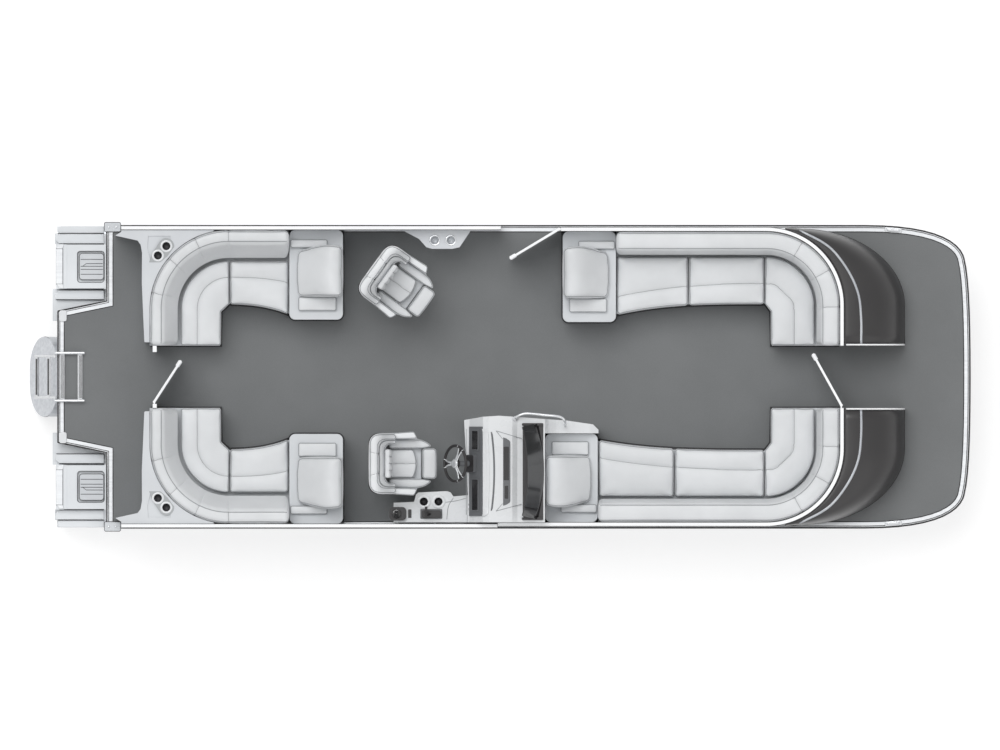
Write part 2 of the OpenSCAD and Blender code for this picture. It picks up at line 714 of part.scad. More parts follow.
module side_table() {
    color(plinth_grey) translate([fore, wall_aft, deck_h]) mirror([0, 1, 0]) {
        difference() {
            translate([0, 0, 470]) linear_extrude(90) polygon([[-987, gap], [-813, 92],
                [-739, 175], [-681, 191], [-482, 191], [-407, 175], [-291, gap]]);
            for (x = [-656, -495]) translate([x, 105, 482]) cylinder(h = 90, d = cup_d);
        }
        // the cleat that holds it to the fence's panel
        block([-900, gap - rail_w / 2 + 2, 480], [-380, gap + 1, 550]);
    }
}

// ---------- chairs ----------

pan_z = deck_h + chair_h - 149;      // underside of a chair's turning part

module chair_pedestals() {
    color(metal) for (a = [chair_axis, mate_axis]) translate([a[0], a[1], deck_h]) {
        cylinder(h = 14, d = 330);
        translate([0, 0, 13]) cylinder(h = 40, d1 = 220, d2 = 120);
        cylinder(h = pan_z - deck_h - gap, d = 88);
    }
}

// A chair's turning shell, facing +X: pan, seat shell, back shell and arms
module chair_shell(at, turn) {
    seat = pan_z + 30;
    color(plinth_grey) translate([at[0], at[1], 0]) rotate([0, 0, turn]) {
        rounded_block([-190, -190, pan_z], [180, 190, seat + 1], 60);
        rounded_block([-255, -255, seat], [215, 255, seat + 28], 60);
        // the back wraps round the sitter and falls away towards its two ends
        intersection() {
            translate([0, 0, seat + 20]) linear_extrude(580) difference() {
                rounded_plate([-311, -300], [90, 300], 90);
                rounded_plate([-249, -238], [200, 238], 12);
                translate([-36, -400]) square([300, 800]);
            }
            translate([0, 400, 0]) rotate([90, 0, 0]) linear_extrude(800)
                polygon([[-330, seat + 19], [-330, seat + 560], [-300, seat + 600],
                    [-240, seat + 600], [-36, seat + 330], [-36, seat + 19]]);
        }
        for (side = [-1, 1]) mirror([0, side > 0 ? 0 : 1, 0]) {
            rounded_block([-60, 240, seat + 10], [90, 262, seat + 215], 10);
            rounded_block([-60, 245, seat + 214], [170, 325, seat + 262], 30);
        }
    }
}

// Its cushions: seat, front bolster, back with two side wings, and headrest
module chair_cushions(at, turn) {
    seat = pan_z + 58 + gap;
    top = deck_h + chair_h;
    color(vinyl) translate([at[0], at[1], 0]) rotate([0, 0, turn]) {
        rounded_block([-165, -228, seat], [215, 228, top], 40);
        translate([0, 161, 0]) rotate([90, 0, 0]) linear_extrude(322) polygon([
            [215 + gap, top - 70], [330, top - 75], [373, top - 45], [368, top - 5],
            [340, top + 15], [215 + gap, top + 12]]);
        translate([0, 228, 0]) rotate([90, 0, 0]) linear_extrude(456) polygon([
            [-213, seat], [-170, seat], [-170, top + gap], [-96, top + 20], [-150, top + 400],
            [-246, top + 400]]);
        translate([0, 175, 0]) rotate([90, 0, 0]) linear_extrude(350) polygon([
            [-246, top + 400 + gap], [-160, top + 400 + gap], [-175, top + 495],
            [-246, top + 495]]);
    }
}
module captain_chair_shell() chair_shell(chair_axis, 0);
module captain_chair_cushions() chair_cushions(chair_axis, 0);
module mate_chair_shell() chair_shell(mate_axis, mate_turn);
module mate_chair_cushions() chair_cushions(mate_axis, mate_turn);

// ---------- boarding ladder ----------

ladder_pin = 10;
ladder_slope = 67;
ladder_hinge = [x_platform - 24, deck_h + 45];
ladder_inner = ladder_w / 2 - ladder_tube - 5;   // the folding part nests between the base rails

module ladder_base() {
    y = ladder_w / 2;
    color(metal) {
        for (side = [-1, 1]) translate([0, side * y, 0]) {
            rod([ladder_hinge[0], 0, ladder_hinge[1]], [x_platform + 271, 0, ladder_hinge[1]],
                ladder_tube);
            for (x = [x_platform + 40, x_platform + 230]) translate([x, 0, deck_h])
                cylinder(h = 45, d = ladder_tube);
            translate([ladder_hinge[0], -side * (ladder_tube + 5 + 16), ladder_hinge[1]])
                rotate([-side * 90, 0, 0]) cylinder(h = ladder_tube + 5 + 16, d = ladder_pin);
        }
        for (x = [x_platform + 30, x_platform + 205])
            block([x, -y, deck_h + 12], [x + 46, y, deck_h + 22]);
    }
}

// The folding part, drawn hanging along its slope
module ladder() {
    long = 500;
    color(metal) translate([ladder_hinge[0], 0, ladder_hinge[1]])
        rotate([0, 180 - ladder_slope, 0]) {
            difference() {
                for (side = [-1, 1]) translate([0, side * ladder_inner, 0]) {
                    rotate([0, 90, 0]) cylinder(h = long, d = ladder_tube);
                    rotate([90, 0, 0]) translate([0, 0, -ladder_tube / 2])
                        cylinder(h = ladder_tube, d = ladder_tube);
                }
                rotate([90, 0, 0]) translate([0, 0, -ladder_w])
                    cylinder(h = 2 * ladder_w, d = ladder_pin + 2 * gap);
            }
            for (x = [146, 448]) rounded_block([x - 26, -ladder_inner, -9],
                [x + 26, ladder_inner, 9], 8);
        }
}

port_pontoon();
starboard_pontoon();
center_pontoon();
tube_risers();
cross_members();
platform_frame();
deck();
deck_trim();
port_engine_pod();
starboard_engine_pod();
stern_corner_caps();
bow_lights();
port_aft_fence();
port_bow_fence();
starboard_aft_fence();
starboard_bow_fence();
stern_gate_posts();
port_gate();
bow_gate();
stern_gate();
port_bow_fairing();
starboard_bow_fairing();
port_stern_shell();
starboard_stern_shell();
port_bow_base();
starboard_bow_base();
port_stern_base();
starboard_stern_base();
port_bow_cushions();
starboard_bow_cushions();
port_stern_cushions();
starboard_stern_cushions();
port_bow_lid_aft();
port_bow_lid_mid();
starboard_bow_lid_aft();
starboard_bow_lid_mid();
port_stern_lid();
starboard_stern_lid();
console_body();
dash_panel();
windscreen();
console_grab_rail();
side_console();
throttle();
steering_wheel();
side_table();
chair_pedestals();
captain_chair_shell();
captain_chair_cushions();
mate_chair_shell();
mate_chair_cushions();
ladder_base();
ladder();
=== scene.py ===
# Pontoon boat: finishes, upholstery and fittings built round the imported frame
import bpy
import bmesh
import math
from mathutils import Matrix, Vector
from mathutils.bvhtree import BVHTree


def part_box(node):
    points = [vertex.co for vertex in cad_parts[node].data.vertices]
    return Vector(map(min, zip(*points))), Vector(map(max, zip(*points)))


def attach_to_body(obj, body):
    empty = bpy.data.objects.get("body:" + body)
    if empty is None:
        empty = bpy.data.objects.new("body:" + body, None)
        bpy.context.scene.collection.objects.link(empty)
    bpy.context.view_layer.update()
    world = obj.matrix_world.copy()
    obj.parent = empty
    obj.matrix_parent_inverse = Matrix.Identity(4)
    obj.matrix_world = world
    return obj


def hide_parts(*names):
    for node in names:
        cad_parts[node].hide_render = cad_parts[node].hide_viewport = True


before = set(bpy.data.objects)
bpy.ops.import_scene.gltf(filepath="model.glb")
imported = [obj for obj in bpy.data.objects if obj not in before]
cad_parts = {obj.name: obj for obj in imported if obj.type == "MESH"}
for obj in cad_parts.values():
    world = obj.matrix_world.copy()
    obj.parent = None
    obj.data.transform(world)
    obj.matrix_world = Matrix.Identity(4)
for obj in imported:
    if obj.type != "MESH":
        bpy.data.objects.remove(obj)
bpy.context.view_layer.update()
print("frame loaded:", len(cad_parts), "parts")


# finishes

surfaceLook = {"coatRough": 0.08, "patchFrom": 0.35, "patchTo": 0.65, "wearDetail": 5}


def screenColour(r, g, b):
    # 0-255 screen values to the linear values that shaders want
    def linear(c):
        c = c / 255
        return c / 12.92 if c <= 0.04045 else ((c + 0.055) / 1.055) ** 2.4
    return (linear(r), linear(g), linear(b), 1)


def finish(name, colour, rough, metal=0.0, coat=0.0, sheen=0.0, specular=0.5):
    mat = bpy.data.materials.new(name)
    mat.use_nodes = True
    shader = mat.node_tree.nodes["Principled BSDF"]
    shader.inputs["Base Color"].default_value = screenColour(*colour)
    shader.inputs["Roughness"].default_value = rough
    shader.inputs["Metallic"].default_value = metal
    shader.inputs["Coat Weight"].default_value = coat
    shader.inputs["Coat Roughness"].default_value = surfaceLook["coatRough"]
    shader.inputs["Sheen Weight"].default_value = sheen
    shader.inputs["Specular IOR Level"].default_value = specular
    return mat


def addNode(mat, kind, **values):
    node = mat.node_tree.nodes.new(kind)
    for key, value in values.items():
        if key in node.inputs:
            node.inputs[key].default_value = value
        else:
            setattr(node, key, value)
    return node


def link(mat, fromNode, output, toNode, socket):
    mat.node_tree.links.new(fromNode.outputs[output], toNode.inputs[socket])


def place(mat, stretch=(1, 1, 1)):
    # object coordinates, stretched for a directional grain
    coords = addNode(mat, "ShaderNodeTexCoord")
    mapping = addNode(mat, "ShaderNodeMapping", Scale=stretch)
    link(mat, coords, "Object", mapping, "Vector")
    return mapping


def mottle(mat, where, scale, colours, detail=4):
    # slow colour change over the surface
    noise = addNode(mat, "ShaderNodeTexNoise", Scale=scale, Detail=detail)
    ramp = addNode(mat, "ShaderNodeValToRGB")
    stops = (surfaceLook["patchFrom"], surfaceLook["patchTo"])
    for element, stop, colour in zip(ramp.color_ramp.elements, stops, colours):
        element.position = stop
        element.color = screenColour(*colour)
    link(mat, where, "Vector", noise, "Vector")
    link(mat, noise, "Fac", ramp, "Fac")
    link(mat, ramp, "Color", mat.node_tree.nodes["Principled BSDF"], "Base Color")


def varyRough(mat, where, scale, low, high):
    noise = addNode(mat, "ShaderNodeTexNoise", Scale=scale,
                    Detail=surfaceLook["wearDetail"])
    spread = addNode(mat, "ShaderNodeMapRange")
    spread.inputs["To Min"].default_value = low
    spread.inputs["To Max"].default_value = high
    link(mat, where, "Vector", noise, "Vector")
    link(mat, noise, "Fac", spread, "Value")
    link(mat, spread, "Result", mat.node_tree.nodes["Principled BSDF"], "Roughness")


def relief(mat, textures, strength, depth):
    # several height textures into one bump chain
    last = None
    for node, output, weight in textures:
        bump = addNode(mat, "ShaderNodeBump", Strength=strength * weight, Distance=depth)
        link(mat, node, output, bump, "Height")
        if last:
            link(mat, last, "Normal", bump, "Normal")
        last = bump
    link(mat, last, "Normal", mat.node_tree.nodes["Principled BSDF"], "Normal")


# each texture: its node, the output that lifts the surface, its weight and its sockets
vinylLook = {"patchScale": 2.2, "patchDetail": 4, "wearScale": 14, "bump": 0.35,
             "depth": 0.0012, "middleRough": 0.42,
             "textures": (("ShaderNodeTexVoronoi", "Distance", 1.0, {"Scale": 420}),
                          ("ShaderNodeTexNoise", "Fac", 0.5, {"Scale": 35, "Detail": 6}))}
metalLook = {"patchScale": 3, "patchDetail": 6, "wearScale": 25, "bump": 0.12, "depth": 0.001,
             "textures": (("ShaderNodeTexNoise", "Fac", 1, {"Scale": 60, "Detail": 8}),)}
mouldedLook = {"patchScale": 1.6, "patchDetail": 4, "wearScale": 9, "bump": 0.1, "depth": 0.001,
               "textures": (("ShaderNodeTexNoise", "Fac", 1, {"Scale": 240, "Detail": 3}),)}


def grained(scale, bump):
    # a moulded finish with a finer, deeper grain
    grain = ("ShaderNodeTexNoise", "Fac", 1, {"Scale": scale, "Detail": 3})
    return dict(mouldedLook, bump=bump, textures=(grain,))


def makeSurface(name, light, shade, rough, look, stretch=(1, 1, 1), **shine):
    # rough gives the lowest and highest roughness; a stretch draws the grain out one way
    mat = finish(name, light, look.get("middleRough", rough[0]), **shine)
    where = place(mat, stretch)
    mottle(mat, where, look["patchScale"], (light, shade), look["patchDetail"])
    textures = []
    for kind, output, weight, sockets in look["textures"]:
        node = addNode(mat, kind, **sockets)
        link(mat, where, "Vector", node, "Vector")
        textures.append((node, output, weight))
    varyRough(mat, where, look["wearScale"], *rough)
    relief(mat, textures, look["bump"], look["depth"])
    return mat


def makeVinyl(name, light, shade):
    return makeSurface(name, light, shade, (0.36, 0.52), vinylLook, sheen=0.15)


def makeMetal(name, light, shade, rough, stretch):
    return makeSurface(name, light, shade, rough, metalLook, stretch, metal=0.55)


def makeMoulded(name, light, shade, rough, look=mouldedLook, **shine):
    # paint, gelcoat, plastic or rubber
    return makeSurface(name, light, shade, rough, look, **shine)


flooringLook = {"light": (127, 129, 130), "shade": (119, 121, 122), "rough": 0.85,
                "specular": 0.25, "weaveAcross": 150, "weaveAlong": 90, "fleckScale": 260,
                "cloudScale": 1.3, "shadeUntil": 0.38, "lightFrom": 0.62, "bump": 0.4,
                "depth": 0.0015}


def makeFlooring():
    # woven vinyl: two crossed sets of threads with small colour changes between them
    mat = finish("wovenFlooring", flooringLook["light"], flooringLook["rough"],
                 specular=flooringLook["specular"])
    where = place(mat)
    across = addNode(mat, "ShaderNodeTexWave", Scale=flooringLook["weaveAcross"],
                     bands_direction="X", Distortion=1.2)
    along = addNode(mat, "ShaderNodeTexWave", Scale=flooringLook["weaveAlong"],
                    bands_direction="Y", Distortion=1.5)
    fleck = addNode(mat, "ShaderNodeTexNoise", Scale=flooringLook["fleckScale"], Detail=3)
    cloud = addNode(mat, "ShaderNodeTexNoise", Scale=flooringLook["cloudScale"], Detail=4)
    both = addNode(mat, "ShaderNodeMix", data_type="FLOAT")
    ramp = addNode(mat, "ShaderNodeValToRGB")
    for node in (across, along, fleck, cloud):
        link(mat, where, "Vector", node, "Vector")
    link(mat, fleck, "Fac", both, 2)
    link(mat, cloud, "Fac", both, 3)
    link(mat, both, 0, ramp, "Fac")
    stops = ramp.color_ramp.elements
    stops[0].position, stops[1].position = flooringLook["shadeUntil"], flooringLook["lightFrom"]
    stops[0].color = screenColour(*flooringLook["shade"])
    stops[1].color = screenColour(*flooringLook["light"])
    link(mat, ramp, "Color", mat.node_tree.nodes["Principled BSDF"], "Base Color")
    relief(mat, [(across, "Fac", 1), (along, "Fac", 1), (fleck, "Fac", 0.6)],
           flooringLook["bump"], flooringLook["depth"])
    return mat


vinyl = makeVinyl("greyVinyl", (214, 216, 218), (205, 207, 209))
palePanel = makeVinyl("paleVinyl", (224, 226, 228), (216, 218, 220))
pipingVinyl = makeVinyl("pipingVinyl", (150, 153, 156), (140, 143, 146))
seamThread = makeVinyl("seamThread", (158, 160, 162), (150, 152, 154))
darkPlinth = makeMoulded("darkPlinth", (38, 38, 40), (30, 30, 32), (0.5, 0.7))
flooring = makeFlooring()
tubeMetal = makeMetal("brushedTube", (206, 209, 213), (190, 193, 198), (0.28, 0.42), (0.6, 9, 9))
trimMetal = makeMetal("trimRail", (204, 206, 208), (192, 194, 197), (0.3, 0.42), (0.4, 12, 12))
frameMetal = makeMetal("frameMetal", (176, 179, 183), (158, 161, 166), (0.4, 0.6), (4, 1, 4))
podPaint = makeMoulded("podPaint", (212, 215, 218), (204, 207, 210), (0.35, 0.5), metal=0.15)
steel = makeMetal("polishedSteel", (216, 218, 220), (200, 202, 205), (0.12, 0.2), (6, 6, 6))
fencePaint = makeMoulded("fencePaint", (246, 247, 248), (238, 239, 241), (0.32, 0.45), coat=0.2)
gelcoat = makeMoulded("whiteGelcoat", (219, 221, 223), (214, 216, 218), (0.22, 0.35), coat=0.4)
greyShell = makeMoulded("greyShell", (206, 209, 212), (196, 199, 203), (0.3, 0.45), coat=0.2)
baseGrain = makeMoulded("baseGrain", (206, 209, 212), (198, 201, 204), (0.5, 0.65),
                        grained(420, 0.3))
fairingGloss = makeMoulded("fairingGloss", (37, 35, 36), (28, 26, 27), (0.34, 0.44), coat=0.12)
satinDark = makeMoulded("satinDark", (98, 100, 103), (90, 92, 95), (0.4, 0.55))
screenDark = makeMoulded("screenDark", (21, 19, 21), (15, 14, 15), (0.12, 0.2), coat=0.5)
satinBlack = makeMoulded("satinBlack", (42, 40, 42), (34, 32, 34), (0.35, 0.5))
gripRubber = makeMoulded("gripRubber", (36, 34, 35), (28, 26, 28), (0.5, 0.65),
                         grained(500, 0.4))
trayGrey = makeMoulded("trayGrey", (166, 169, 171), (158, 161, 163), (0.4, 0.55))
wellDark = makeMoulded("wellDark", (58, 58, 61), (50, 50, 53), (0.5, 0.6))
print("finishes made")


# camera, light and floor
stageLook = {"width": 10.0, "centre": (-0.003, 0.018), "cameraHeight": 20, "clipEnd": 60,
             "sky": 0.58, "floorSize": 60, "floorColour": (250, 250, 250), "floorRough": 0.9,
             "floorGlow": 1.2, "floorGlowShare": 0.55}
lamps = {"softKey": {"strength": 1.45, "spread": 38, "tilt": 24, "heading": -150},
         "softFill": {"strength": 0.3625, "spread": 60, "tilt": 50, "heading": 40}}

scene = bpy.context.scene
scene.view_settings.view_transform = "Standard"

cameraData = bpy.data.cameras.new("planCamera")
cameraData.type = "ORTHO"
cameraData.ortho_scale = stageLook["width"]
cameraData.clip_end = stageLook["clipEnd"]
camera = bpy.data.objects.new("planCamera", cameraData)
camera.location = (*stageLook["centre"], stageLook["cameraHeight"])   # straight above, bow right
scene.collection.objects.link(camera)
scene.camera = camera


def addSun(name, strength, spread, tilt, heading):
    lamp = bpy.data.lights.new(name, "SUN")
    lamp.energy = strength
    lamp.angle = math.radians(spread)
    obj = bpy.data.objects.new(name, lamp)
    obj.rotation_euler = (math.radians(tilt), 0, math.radians(heading))
    scene.collection.objects.link(obj)


for name, lamp in lamps.items():
    addSun(name, **lamp)


def whiteToCamera(tree, litShader, strength, share):
    # the camera, mirrors and glass see a plain white; everything else sees the lit shader
    path = tree.nodes.new("ShaderNodeLightPath")
    glow = tree.nodes.new("ShaderNodeEmission" if share < 1 else "ShaderNodeBackground")
    glow.inputs["Color"].default_value = (1, 1, 1, 1)
    glow.inputs["Strength"].default_value = strength
    amount = path.outputs["Is Camera Ray"]
    for ray in ("Is Glossy Ray", "Is Transmission Ray"):
        either = tree.nodes.new("ShaderNodeMath")
        either.operation = "ADD"
        tree.links.new(amount, either.inputs[0])
        tree.links.new(path.outputs[ray], either.inputs[1])
        amount = either.outputs[0]
    part = tree.nodes.new("ShaderNodeMath")
    part.operation = "MULTIPLY"
    part.inputs[1].default_value = share
    part.use_clamp = True
    mix = tree.nodes.new("ShaderNodeMixShader")
    tree.links.new(amount, part.inputs[0])
    tree.links.new(part.outputs[0], mix.inputs["Fac"])
    tree.links.new(litShader.outputs[0], mix.inputs[1])
    tree.links.new(glow.outputs[0], mix.inputs[2])
    return mix


world = bpy.data.worlds.new("softSky")
scene.world = world
world.use_nodes = True
sky = world.node_tree.nodes["Background"]
sky.inputs["Color"].default_value = (1, 1, 1, 1)
sky.inputs["Strength"].default_value = stageLook["sky"]
seen = whiteToCamera(world.node_tree, sky, 1.0, 1)
world.node_tree.links.new(seen.outputs[0], world.node_tree.nodes["World Output"].inputs["Surface"])


def buildFloor():
    half = stageLook["floorSize"] / 2
    data = bpy.data.meshes.new("studioFloor")
    data.from_pydata([(-half, -half, 0), (half, -half, 0), (half, half, 0), (-half, half, 0)], [],
                     [(0, 1, 2, 3)])
    floor = bpy.data.objects.new("studioFloor", data)
    scene.collection.objects.link(floor)
    mat = finish("studioWhite", stageLook["floorColour"], stageLook["floorRough"], specular=0.1)
    mix = whiteToCamera(mat.node_tree, mat.node_tree.nodes["Principled BSDF"],
                        stageLook["floorGlow"], stageLook["floorGlowShare"])
    output = mat.node_tree.nodes["Material Output"]
    mat.node_tree.links.new(mix.outputs[0], output.inputs["Surface"])
    data.materials.append(mat)


buildFloor()
print("camera, light and floor ready")


# frame parts that keep their shape, by finish
keptParts = (
    (tubeMetal, ("port_pontoon", "starboard_pontoon", "center_pontoon")),
    (frameMetal, ("tube_risers", "cross_members", "platform_frame")),
    (flooring, ("deck",)),
    (trimMetal, ("deck_trim",)),
    (podPaint, ("port_engine_pod", "starboard_engine_pod")),
    (greyShell, ("stern_corner_caps", "port_stern_shell", "starboard_stern_shell", "side_table")),
    (fencePaint, ("port_aft_fence", "port_bow_fence", "starboard_aft_fence",
                  "starboard_bow_fence", "stern_gate_posts", "port_gate", "bow_gate",
                  "stern_gate")),
    (baseGrain, ("port_bow_base", "starboard_bow_base", "port_stern_base",
                 "starboard_stern_base")),
    (gelcoat, ("console_body", "side_console")),
    (satinDark, ("dash_panel",)),
    (screenDark, ("windscreen",)),
    (satinBlack, ("throttle",)),
    (gripRubber, ("steering_wheel",)),
    (steel, ("bow_lights", "chair_pedestals", "ladder_base", "ladder")),
)
softened = (   # radius of the rounded edges, and the parts that have them
    (0.018, ("console_body",)), (0.016, ("side_console",)), (0.012, ("side_table",)),
    (0.014, ("port_stern_shell", "starboard_stern_shell")),
    (0.008, ("port_engine_pod", "starboard_engine_pod")),
    (0.006, ("port_bow_base", "starboard_bow_base", "port_stern_base", "starboard_stern_base",
             "throttle")),
    (0.005, ("port_aft_fence", "starboard_aft_fence", "stern_corner_caps")),
    (0.004, ("port_gate", "bow_gate", "stern_gate", "dash_panel", "bow_lights")),
)
edgeRounding = {"steps": 3, "sharperThan": 40, "flatWithin": 0.5, "weldWithin": 0.00005}


def roundEdges(part, radius):
    edge = part.modifiers.new("roundedEdges", "BEVEL")
    edge.width = radius
    edge.segments = edgeRounding["steps"]
    edge.limit_method = "ANGLE"
    edge.angle_limit = math.radians(edgeRounding["sharperThan"])


def finishKeptParts():
    for mat, names in keptParts:
        for name in names:
            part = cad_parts[name]
            part.data.materials.clear()
            part.data.materials.append(mat)
    for radius, names in softened:
        for name in names:
            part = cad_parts[name]
            weld = part.modifiers.new("joined", "WELD")
            weld.merge_threshold = edgeRounding["weldWithin"]
            flat = part.modifiers.new("flatFaces", "DECIMATE")
            flat.decimate_type = "DISSOLVE"
            flat.angle_limit = math.radians(edgeRounding["flatWithin"])
            roundEdges(part, radius)


finishKeptParts()
print("kept parts finished")


# making things

def makePiece(name, verts, faces, mat, smooth=True):
    data = bpy.data.meshes.new(name)
    data.from_pydata([tuple(v) for v in verts], [], faces)
    mesh = bmesh.new()
    mesh.from_mesh(data)
    bmesh.ops.recalc_face_normals(mesh, faces=mesh.faces)
    mesh.to_mesh(data)
    mesh.free()
    for face in data.polygons:
        face.use_smooth = smooth
    data.materials.append(mat)
    piece = bpy.data.objects.new(name, data)
    scene.collection.objects.link(piece)
    return piece


def joinPieces(name, pieces):
    # one object from several, each with its own finish
    first = pieces[0]
    if len(pieces) > 1:
        with bpy.context.temp_override(active_object=first, object=first,
                                       selected_editable_objects=pieces,
                                       selected_objects=pieces):
            bpy.ops.object.join()
    first.name = name
    return first


def attach(piece, body, slot, *nodes):
    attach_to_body(piece, body)
    if nodes:
        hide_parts(*nodes)


def titled(name):
    return name.title().replace("_", "")


def applyModifiers(piece):
    graph = bpy.context.evaluated_depsgraph_get()
    shaped = bpy.data.meshes.new_from_object(piece.evaluated_get(graph))
    old = piece.data
    piece.modifiers.clear()
    piece.data = shaped
    bpy.data.meshes.remove(old)


def skinOf(piece):
    # a piece's surface, for finding the nearest point on it
    return BVHTree.FromPolygons([v.co for v in piece.data.vertices],
                                [tuple(f.vertices) for f in piece.data.polygons])


def lerp(a, b, t):
    return a + (b - a) * t


def alongLine(points, t):
    # the point at share t of a polyline's length
    points = [Vector(p) for p in points]
    lengths = [(b - a).length for a, b in zip(points, points[1:])]
    left = t * sum(lengths)
    for a, b, length in zip(points, points[1:], lengths):
        if left <= length or b is points[-1]:
            return a.lerp(b, min(1, left / length) if length else 0)
        left -= length


def spline(points, each=8):
    # a smooth curve through the points
    points = [Vector(p) for p in points]
    out = []
    for i, (p1, p2) in enumerate(zip(points, points[1:])):
        p0 = points[i - 1] if i else p1 * 2 - p2
        p3 = points[i + 2] if i + 2 < len(points) else p2 * 2 - p1
        for k in range(each):
            t = k / each
            out.append(0.5 * (2 * p1 + (p2 - p0) * t + (2 * p0 - 5 * p1 + 4 * p2 - p3) * t * t
                              + (3 * p1 - p0 - 3 * p2 + p3) * t ** 3))
    return out + [points[-1]]


def evenLine(start, end, count):
    # even points from start to end
    return [tuple(lerp(a, b, k / count) for a, b in zip(start, end)) for k in range(count + 1)]


def arcPoints(centre, radius, start, end, steps):
    return [(centre[0] + radius * math.cos(math.radians(lerp(start, end, k / steps))),
             centre[1] + radius * math.sin(math.radians(lerp(start, end, k / steps))))
            for k in range(steps + 1)]


def roundedRect(x0, y0, x1, y1, radius, steps=5):
    out = []
    for cx, cy, start in ((x1 - radius, y1 - radius, 0), (x0 + radius, y1 - radius, 90),
                          (x0 + radius, y0 + radius, 180), (x1 - radius, y0 + radius, 270)):
        out += arcPoints((cx, cy), radius, start, start + 90, steps)
    return out


def evenLoop(loop, step=0.25):
    # a closed outline with its long sides divided up
    out = []
    for a, b in zip(loop, loop[1:] + loop[:1]):
        count = max(1, round(math.dist(a, b) / step))
        out += [Vector(a).lerp(Vector(b), k / count) for k in range(count)]
    return out


def netFaces(rows, columns, roundRows=False, roundColumns=False):
    # quads between rows of vertices laid out one row after another
    faces = []
    for i in range(rows if roundRows else rows - 1):
        n = (i + 1) % rows
        for k in range(columns if roundColumns else columns - 1):
            m = (k + 1) % columns
            faces.append((i * columns + k, i * columns + m, n * columns + m, n * columns + k))
    return faces


def barFaces(rows, sides):
    # a bar of the same section all along, closed at both ends
    return netFaces(rows, sides, roundColumns=True) + [tuple(range(sides)),
                                                       tuple(range((rows - 1) * sides,
                                                                   rows * sides))]


def tube(name, path, radius, mat, sides=8, closed=False, flat=1.0, up=(0, 0, 1)):
    # a round or flattened bar along a path
    path = [Vector(p) for p in path]
    count = len(path)
    verts = []
    for i, here in enumerate(path):
        before = path[i - 1] if i or closed else here
        after = path[(i + 1) % count] if i < count - 1 or closed else here
        along = (after - before).normalized()
        side = along.cross(Vector(up))
        if side.length < 1e-3:
            side = along.cross(Vector((1, 0, 0)))
        side.normalize()
        top = side.cross(along)
        size = radius(i / max(1, count - 1)) if callable(radius) else radius
        for k in range(sides):
            a = 2 * math.pi * k / sides
            verts.append(here + side * math.cos(a) * size + top * math.sin(a) * size * flat)
    faces = netFaces(count, sides, True, True) if closed else barFaces(count, sides)
    return makePiece(name, verts, faces, mat)


def plate(name, outline, low, high, mat, edge=0.0):
    # a flat plate from a plan outline, with its edges rounded over
    count = len(outline)
    verts = [(x, y, low) for x, y in outline] + [(x, y, high) for x, y in outline]
    faces = [tuple(range(count)), tuple(range(count, 2 * count))]
    faces += netFaces(2, count, roundColumns=True)
    piece = makePiece(name, verts, faces, mat, False)
    if edge:
        roundEdges(piece, edge)
        applyModifiers(piece)
    return piece


def turned(name, centre, profile, mat, segments=40, closed=False, normal=None):
    # a profile of radius and height turned round an upright axis, or round the normal
    spin = Vector(normal).to_track_quat("Z", "Y").to_matrix() if normal else Matrix.Identity(3)
    rows = len(profile)
    verts = []
    for i in range(segments):
        a = 2 * math.pi * i / segments
        for r, z in profile:
            verts.append(Vector(centre) + spin @ Vector((r * math.cos(a), r * math.sin(a), z)))
    faces = netFaces(segments, rows, True, closed)
    if not closed:
        for k in (0, rows - 1):
            if profile[k][0] > 1e-6:
                faces.append(tuple(i * rows + k for i in range(segments)))
    return makePiece(name, verts, faces, mat)


def ring(name, centre, inner, outer, low, high, mat, segments=40):
    # a turned collar with a rounded top
    mid = (inner + outer) / 2
    profile = [(outer, low), (outer, lerp(low, high, 0.6)), (lerp(mid, outer, 0.6), high),
               (lerp(mid, inner, 0.6), high), (inner, lerp(low, high, 0.6)), (inner, low)]
    return turned(name, centre, profile, mat, segments, closed=True)


# upholstery
sewing = {"spacing": 0.034, "rollRows": (0, 0.423, 0.732, 1), "heldBelow": 0.3, "heldAbove": 0.7,
          "crownReach": 0.05, "seamWidth": 0.007, "seamDepth": 0.010, "seamClear": 1.6,
          "sunkAbove": 0.55, "weltRadius": 0.0030, "weltInset": 0.2, "weltStep": 0.025,
          "pipingRadius": 0.0042, "pipingInset": 0.30, "pipingStep": 0.03, "pipingSunk": 0.35}
stuffing = {"pressure": 4.0, "frames": 20, "quality": 5, "mass": 0.3, "stretch": 12, "shear": 8,
            "bend": 0.6}


def gridStops(length, radius, step, seams):
    # rows close together in the rolled edge and at each seam
    w = sewing["seamWidth"]
    stops = [radius * share for share in sewing["rollRows"]]
    stops += [length - s for s in stops]
    for seam in seams:
        stops = [s for s in stops if abs(s - seam) > sewing["seamClear"] * w]
        stops += [seam - w, seam, seam + w]
    stops.sort()
    rows = []
    for start, end in zip(stops, stops[1:]):
        count = max(1, round((end - start) / step))
        rows += [lerp(start, end, i / count) for i in range(count)]
    return rows + [length]


